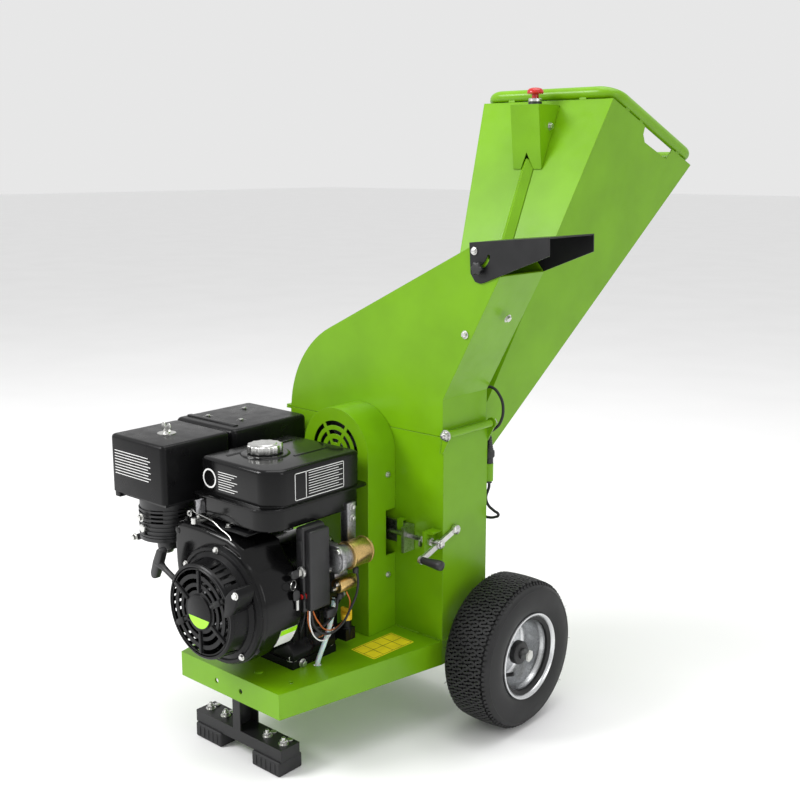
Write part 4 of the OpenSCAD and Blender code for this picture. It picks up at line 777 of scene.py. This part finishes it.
# ----------------------------------------------------------
# Control box: a moulded black case bolted beside the engine, with a key switch in a plated
# bezel and a reset button. A spare key hangs on its ring.
bm = bmesh.new()
stretched(bm, ((104, 98, 324), (126, 98, 324), (126, 98, 504), (104, 98, 504)), (0, 62, 0), 7, 3, 4, 4)
stretched(bm, ((125, 103, 330), (142, 103, 330), (142, 103, 498), (125, 103, 498)), (0, 54, 0), 5, 3, 4, 4)
block(bm, (111, 95.6, 436), (124, 99, 478), 1.2, 2)
drum(bm, (122, 99, 361), (0, -1, 0), 9.5, 3.5, 1.2, 36)
add_piece("switch_housing", bm, black_plastic, "frame", "black_plastic", "control_box", crease=30)
bm = bmesh.new()
turned(bm, [(6.4, 0.6), (11.5, 0.6), (12.2, -1), (12, -4), (10, -5), (6.4, -5), (6.4, 0.6)], (122, 98, 412),
       (0, 1, 0), 40)
add_piece("key_bezel", bm, zinc_plate, "frame", "plated_steel")
bm = bmesh.new()
ring = [Vector((122 - 1.4, 98 + y, 412 + z)) for y, z in ((-9, -8), (-16, -9), (-26, -9), (-30, -4), (-30, 4),
        (-26, 9), (-16, 9), (-9, 8))]
stretched(bm, ring, (2.8, 0, 0), 1.5, 0.8, 0.8, 2)
add_piece("key_head", bm, black_plastic, "ignition_key", "black_plastic", crease=40)
bm = bmesh.new()
ring = [Vector((129, 73 + y, 372 + z)) for y, z in ((-8, -9), (4, -12), (10, -4), (8, 8), (-2, 12), (-9, 6))]
stretched(bm, ring, (2.8, 0, 0), 2.5, 0.8, 0.8, 2)
add_piece("spare_key_head", bm, black_plastic, "frame", "black_plastic", crease=40)
bm = bmesh.new()
turned(bm, [(9.4, 0), (10.6, 0), (10.6, 1.2), (9.4, 1.2), (9.4, 0)], (127, 68, 394), (1, 0.3, 0), 36)
block(bm, (129.6, 73, 340), (131.4, 79, 364), 0.5, 1)
add_piece("spare_key_and_ring", bm, zinc_plate, "frame", "plated_steel")

# ----------------------------------------------------------
# Starter motor: a yellow zinc body with a cast alloy nose, drawn together by through bolts.
# The solenoid lies beneath it.
bm = bmesh.new()
drum(bm, (138, 207, 421), (0, 1, 0), 28.6, 58, 2, 56)
turned(bm, [(28.9, 208), (29.6, 209), (29.6, 212), (28.9, 213)], (138, 0, 421), (0, 1, 0), 56)
turned(bm, [(28.9, 258), (29.6, 259), (29.6, 262), (28.9, 263)], (138, 0, 421), (0, 1, 0), 56)
drum(bm, (126, 190, 356), (0, 1, 0), 15.6, 52, 2, 44)
add_piece("starter_body", bm, yellow_zinc, "frame", "gold_zinc", "starter_motor", crease=30)
bm = bmesh.new()
drum(bm, (138, 168, 421), (0, 1, 0), 25, 40, 4, 44)
stretched(bm, ((100, 170, 392), (150, 170, 392), (168, 170, 408), (168, 170, 436), (150, 170, 452),
          (100, 170, 452)), (0, 14, 0), 6, 3, 3, 3)
block(bm, (96, 176, 398), (122, 204, 446), 3, 2)
block(bm, (98, 196, 336), (116, 236, 378), 3, 2)
block(bm, (90, 240, 430), (112, 266, 520), 3, 2)
drum(bm, (138, 264, 421), (0, 1, 0), 12, 5, 2, 32)
add_piece("starter_nose", bm, cast_alloy, "frame", "cast_alloy", crease=35)
bm = bmesh.new()
for x, z in ((124, 398), (156, 444)):
    bolt_head(bm, (x, 170, z), (0, -1, 0), 10, 6)
    drum(bm, (x - (x - 138) * 0.25, 264, 421 + (z - 421) * 0.75), (0, 1, 0), 3.2, 5, 0.6, 16)
for x, y, z in ((130, 190, 362), (122, 190, 350)):
    bolt_head(bm, (x, y, z), (0, -1, 0), 7, 6)
for z in (510, 486):
    bolt_head(bm, (112, 253, z), (1, 0, 0), 10, 6)
add_piece("starter_bolts_plated", bm, zinc_plate, "frame", "plated_steel")

# ----------------------------------------------------------
# Crankcase dressing: the cast side cover with its ribs, foot rail and drain plug, bolted on.
# A plain plate with a lime stripe is stuck round the shroud.
bm = bmesh.new()
turned(bm, [(100, 97), (104, 97), (104, 112), (100, 116), (97, 116)], (0, 0, CRANK_HEIGHT), (0, 1, 0), 72)
for k in range(7):
    block(bm, (77.8, 108 + 19 * k, 222), (82, 112 + 19 * k, 322), 1.4, 2)
block(bm, (-96, 92.5, 193.4), (-84, 220, 224), 3, 2)
stretched(bm, ((30, 96, 209), (94, 96, 209), (94, 96, 226), (80, 96, 246), (60, 96, 262)), (0, 122, 0), 4, 2, 2, 3)
drum(bm, (98, 248, 214), (0, 0, 1), 13, 30, 3, 32)
add_piece("crankcase_ribs", bm, engine_satin, "frame", "engine_black", crease=35)
bm = bmesh.new()
for k in range(9):
    angle = math.radians(20 + 40 * k)
    bolt_head(bm, (94 * math.cos(angle), 245, CRANK_HEIGHT + 94 * math.sin(angle)), (0, 1, 0), 10, 6)
for y in (104, 209):
    bolt_head(bm, (81, y, 208.8), (0, 0, 1), 15, 8)
    drum(bm, (81, y, 216), (0, 0, 1), 4.8, 8, 1, 20)
bolt_head(bm, (94, 120, 201), (1, 0, 0), 12, 7)
bolt_head(bm, (-40, 94, 214), (0, -1, 0), 13, 7)
add_piece("crankcase_bolts", bm, zinc_plate, "frame", "plated_steel")
bm = bmesh.new()
bend = [math.radians(-40 + 3 * i) for i in range(8)]
ring = [Vector((127 * math.cos(a), 40, CRANK_HEIGHT + 127 * math.sin(a))) for a in bend]
ring += [Vector((126.3 * math.cos(a), 40, CRANK_HEIGHT + 126.3 * math.sin(a))) for a in reversed(bend)]
stretched(bm, ring, (0, 44, 0), 0, 0, 0, 1)
add_piece("engine_plate", bm, label_white, "frame", "white_hose")
bm = bmesh.new()
ring = [Vector((127.4 * math.cos(a), 40, CRANK_HEIGHT + 127.4 * math.sin(a))) for a in bend[-3:]]
ring += [Vector((126.9 * math.cos(a), 40, CRANK_HEIGHT + 126.9 * math.sin(a))) for a in reversed(bend[-3:])]
stretched(bm, ring, (0, 44, 0), 0, 0, 0, 1)
add_piece("engine_plate_stripe", bm, lime_badge, "frame", "yellow_plastic")

# ----------------------------------------------------------
# Wires and hoses: rubber-sheathed loom from the control box to the starter, thin leads, and
# a clear oil hose pushed on its stub and led down through the deck.
copper_wire = moulded_rubber("copper_wire", (0.42, 0.11, 0.02), 0.45)
strung("loom_main", [(120, 116, 334), (120, 116, 314), (122, 122, 292), (126, 140, 282), (131, 166, 292),
       (131, 184, 308), (128, 190, 322),
                     (126, 200, 340)], 3.0, rubber,
       "frame", "rubber", "wiring_loom")
strung("loom_second", [(127, 116, 334), (129, 116, 310), (132, 126, 284), (138, 150, 268), (145, 180, 276),
       (149, 208, 308), (147, 232, 344),
                       (142, 236, 378), (138, 236, 391)], 2.6, rubber, "frame", "rubber")
strung("lead_orange", [(126, 120, 328), (128, 132, 300), (134, 158, 272), (140, 196, 282), (142, 214, 318),
       (134, 212, 340)], 1.6, copper_wire, "frame", "rubber")
strung("lead_orange_low", [(124, 110, 328), (124, 112, 296), (120, 136, 262), (112, 168, 254), (104, 200, 262)],
       1.6, copper_wire, "frame", "rubber")
strung("lead_white", [(129, 110, 328), (129, 112, 292), (130, 128, 262), (126, 160, 250), (118, 190, 262)], 1.5,
       label_white, "frame", "white_hose")
strung("lead_thin", [(116, 112, 328), (114, 106, 300), (108, 104, 280), (101, 110, 276)], 1.8, rubber, "frame",
       "rubber")
strung("oil_drain_hose", [(112, 197, 326), (112, 194, 302), (111, 187, 274), (111, 173, 242), (110, 158, 214),
       (110, 150, 199), (110, 148, 184), (110, 148, 168)],
       5.2, clear_hose, "frame", "white_hose", "drain_hose")
bm = bmesh.new()
for at, way in (((112, 197, 326), (0, 0.2, -1)), ((126, 200, 338), (0, 0, -1)), ((138, 236, 388), (0, 0, -1))):
    drum(bm, at, way, 6.4, 12, 1.4, 24)
block(bm, (114, 126, 262), (128, 146, 276), 2, 2)
block(bm, (128, 150, 300), (140, 176, 318), 3, 2)
add_piece("loom_plugs", bm, black_plastic, "frame", "black_plastic")

# ----------------------------------------------------------
# Stop cable: rubber-sheathed, from the strip under the hopper down behind the housing.
# A ribbed plug joins its two runs, and a grommet takes it inside.
strung("stop_cable_upper", [(143, 574.5, 692), (143, 571, 677), (149, 567, 667), (166, 566.5, 676),
       (190, 569, 704), (212, 571, 726),
                            (232, 572, 734), (256, 572, 718), (266, 572, 690), (257, 572, 655), (242, 572,
                                    640), (232, 572, 631),
                            (231, 572, 622), (231, 572, 612)], 3.2, rubber, "frame", "rubber", "switch_cable")
strung("stop_cable_lower", [(231, 572, 516), (231, 572, 507), (228, 572, 497), (223, 572, 480), (228, 573, 464),
       (244, 574, 453),
                            (256, 575, 446), (246, 576, 438), (226, 574, 434), (208, 569, 437), (200, 563,
                                    440), (200, 556, 440)], 3.2, rubber, "frame", "rubber")
bm = bmesh.new()
turned(bm, [(6.2, 516), (6.2, 562), (8.5, 562), (8.5, 574), (11, 576), (11.4, 580), (11, 590), (8.4, 592),
       (8.2, 596), (7, 597), (7.6, 600), (6.4, 601.5),
            (7, 604.5), (5.8, 606), (6.3, 609), (5.2, 610.5), (5.6, 613.5), (4.6, 615), (4.8, 621), (3.4,
                    622.5)], (231, 572, 0), (0, 0, 1), 40)
for k in range(12):
    angle = math.tau * k / 12
    block(bm, (231 + 10.6 * math.cos(angle) - 0.8, 572 + 10.6 * math.sin(angle) - 0.8, 578),
          (231 + 10.6 * math.cos(angle) + 0.8, 572 + 10.6 * math.sin(angle) + 0.8, 588), 0.3, 1)
add_piece("cable_plug", bm, black_plastic, "frame", "black_plastic", "cable_connector")

# ----------------------------------------------------------
# Emergency stop: a red plastic mushroom button that presses down in a plated ring.
# Its bracket is bolted across the hopper, one bolt a side.
bm = bmesh.new()
turned(bm, [(0, 1388.5), (9, 1387.8), (15, 1385.6), (18.6, 1381.5), (19.4, 1377), (18, 1374.2), (12.5, 1373.4),
       (8, 1372.4), (8, 1334), (0, 1334)],
       (143, 845, 0), (0, 0, 1), 56)
add_piece("stop_mushroom", bm, red_plastic, "estop_button", "red_plastic", "estop_button")
bm = bmesh.new()
turned(bm, [(8.6, 1356), (14.8, 1356), (15.6, 1357), (15.6, 1362.6), (14.4, 1364), (8.6, 1364), (8.6, 1356)],
       (143, 845, 0), (0, 0, 1), 56)
add_piece("stop_ring", bm, zinc_plate, "frame", "plated_steel")
bm = bmesh.new()
bolt_head(bm, (182.5, 850, 1300), (1, 0, 0), 12, 6)
bolt_head(bm, (103.5, 850, 1300), (-1, 0, 0), 12, 6)
add_piece("switch_box_bolts", bm, zinc_plate, "frame", "plated_steel")

# ----------------------------------------------------------
# Tensioner hand pieces: a plated wing nut on the cut thread of the screw, and a moulded
# black grip that turns freely on the end of the crank.
bm = bmesh.new()
turned(bm, [(5.1, 193), (9, 193), (9, 195), (8, 199), (6.5, 203), (5.1, 203), (5.1, 193)], (0, 388, 422),
       (1, 0, 0), 32)
for side in (-1, 1):
    before = set(bm.verts)
    drum(bm, (-1.4, 0, 0), (1, 0, 0), 8, 2.8, 0.6, 24)
    wing = fresh(bm, before)
    bmesh.ops.scale(bm, vec=(1, 0.8, 1.15), verts=wing)
    bmesh.ops.translate(bm, vec=(196, 388 + side * 11, 422 + side * 5), verts=wing)
bolt_head(bm, (242.5, 388, 422), (1, 0, 0), 13, 5)
add_piece("tensioner_wing_nut", bm, zinc_plate, "tension_crank", "plated_steel", crease=40)
bm = bmesh.new()
turned(bm, [(4.1, 241), (7, 241), (7.6, 243), (8.2, 256), (9.6, 272), (10.8, 284), (10.9, 289), (9.6, 293.6),
       (6, 295.8), (0, 296.2)], (0, 330, 402), (1, 0, 0), 40)
add_piece("crank_handle_grip", bm, black_plastic, "crank_grip", "black_plastic", "crank_grip")
bm = bmesh.new()
turned(bm, [(0, 247.5), (6, 247), (10, 244.4), (11, 241.5), (11, 235), (0, 235)], (0, 443, 441), (1, 0, 0), 36)
add_piece("crank_end_boss", bm, zinc_plate, "tension_crank", "plated_steel")
bm = bmesh.new()
for k in range(44):
    x = 104 + 2 * k
    turned(bm, [(4.8, x - 0.9), (5.35, x), (4.8, x + 0.9)], (0, 388, 422), (1, 0, 0), 20)
add_piece("tensioner_thread", bm, engine_satin, "tension_crank", "engine_black", crease=70)

# ----------------------------------------------------------
# Clamp knob and housing bolts: a black moulded knob with six lobes, turned on a stud to
# hold the deflector, and the plated bolts of the upper housing and the belt guard.
bm = bmesh.new()
ring = []
for k in range(72):
    angle = math.tau * k / 72
    radius = 12.4 + 1.6 * math.cos(6 * angle)
    ring.append(Vector((325 + radius * math.cos(angle), 389.5, 1012 + radius * math.sin(angle))))
stretched(bm, ring, (0, 9.5, 0), 0, 2, 2.4, 3)
drum(bm, (325, 403, 1012), (0, -1, 0), 7.4, 5, 0.8, 32)
add_piece("lobed_knob", bm, black_plastic, "clamp_knob", "black_plastic", "clamp_knob", crease=35)
bm = bmesh.new()
bolt_head(bm, (311, 403.2, 1045), (0, -1, 0), 10, 4)
bolt_head(bm, (287, 407.2, 874), (0, -1, 0), 11, 5)
for y in (442, 525):
    bolt_head(bm, (-241.5, y, 655), (0, 0, 1), 13, 6)
bolt_head(bm, (337, 483, 905), (0.87, 0, -0.48), 12, 5)
add_piece("cover_bolt_heads", bm, zinc_plate, "cover", "plated_steel")
bm = bmesh.new()
for side in (-1, 1):
    for z in (320, 550):
        bolt_head(bm, (side * 97.1, 382, z), (side, 0, 0), 9, 4)
bolt_head(bm, (243, 402.8, 657), (0, -1, 0), 16, 8)
drum(bm, (243, 394, 657), (0, -1, 0), 5, 6, 1, 24)
add_piece("guard_screws", bm, zinc_plate, "frame", "plated_steel")

# ----------------------------------------------------------
# Studio: a pale floor, large soft lamps and the camera at standing height.
# Nothing here is part of the machine.
floor_mesh = bpy.data.meshes.new("studio_floor")
bm = bmesh.new()
bmesh.ops.create_grid(bm, x_segments=1, y_segments=1, size=40)
bm.to_mesh(floor_mesh)
bm.free()
floor = bpy.data.objects.new("studio_floor", floor_mesh)
bpy.context.scene.collection.objects.link(floor)
floor_mat, floor_tree, floor_shader = new_material("studio_floor")
floor_noise = object_noise(floor_tree, 2.0, 2)
floor_tint = ramp(floor_tree, floor_noise.outputs["Fac"], [(0.3, (0.9, 0.9, 0.9)), (0.7, (0.92, 0.92, 0.92))])
floor_tree.links.new(floor_tint.outputs["Color"], floor_shader.inputs["Base Color"])
floor_shader.inputs["Roughness"].default_value = 0.9
floor_mesh.materials.append(floor_mat)
floor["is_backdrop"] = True

world = bpy.data.worlds.new("studio")
bpy.context.scene.world = world
world.use_nodes = True
world.node_tree.nodes["Background"].inputs["Color"].default_value = (1, 1, 1, 1)
world.node_tree.nodes["Background"].inputs["Strength"].default_value = 0.8
bpy.context.scene.view_settings.view_transform = "Standard"


def soft_lamp(name, where, aim, size, watts):
    data = bpy.data.lights.new(name, "AREA")
    data.shape = "RECTANGLE"
    data.size, data.size_y = size
    data.energy = watts
    lamp = bpy.data.objects.new(name, data)
    lamp.location = where
    lamp.rotation_euler = (Vector(where) - Vector(aim)).to_track_quat("Z", "Y").to_euler()
    bpy.context.scene.collection.objects.link(lamp)


soft_lamp("key", (-1.9, -3.0, 2.9), (0, 0, 0.6), (1.6, 1.4), 120)
soft_lamp("side", (3.4, -0.6, 1.6), (0, 0, 0.6), (0.9, 1.8), 14)
soft_lamp("top", (0.3, 0.2, 3.6), (0, 0, 0.5), (2.4, 2.4), 60)

turn, drop = math.radians(41.39), math.radians(11.13)
back = Vector((math.sin(turn) * math.cos(drop), -math.cos(turn) * math.cos(drop), math.sin(drop)))
camera_data = bpy.data.cameras.new("camera")
camera_data.lens, camera_data.sensor_width = 50.32, 36
camera_data.shift_y = -0.0207
camera = bpy.data.objects.new("camera", camera_data)
camera.location = place(1674.7, -1367.4, 1215.9)
camera.rotation_euler = (-back).to_track_quat("-Z", "Y").to_euler()
bpy.context.scene.collection.objects.link(camera)
bpy.context.scene.camera = camera

low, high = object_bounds()
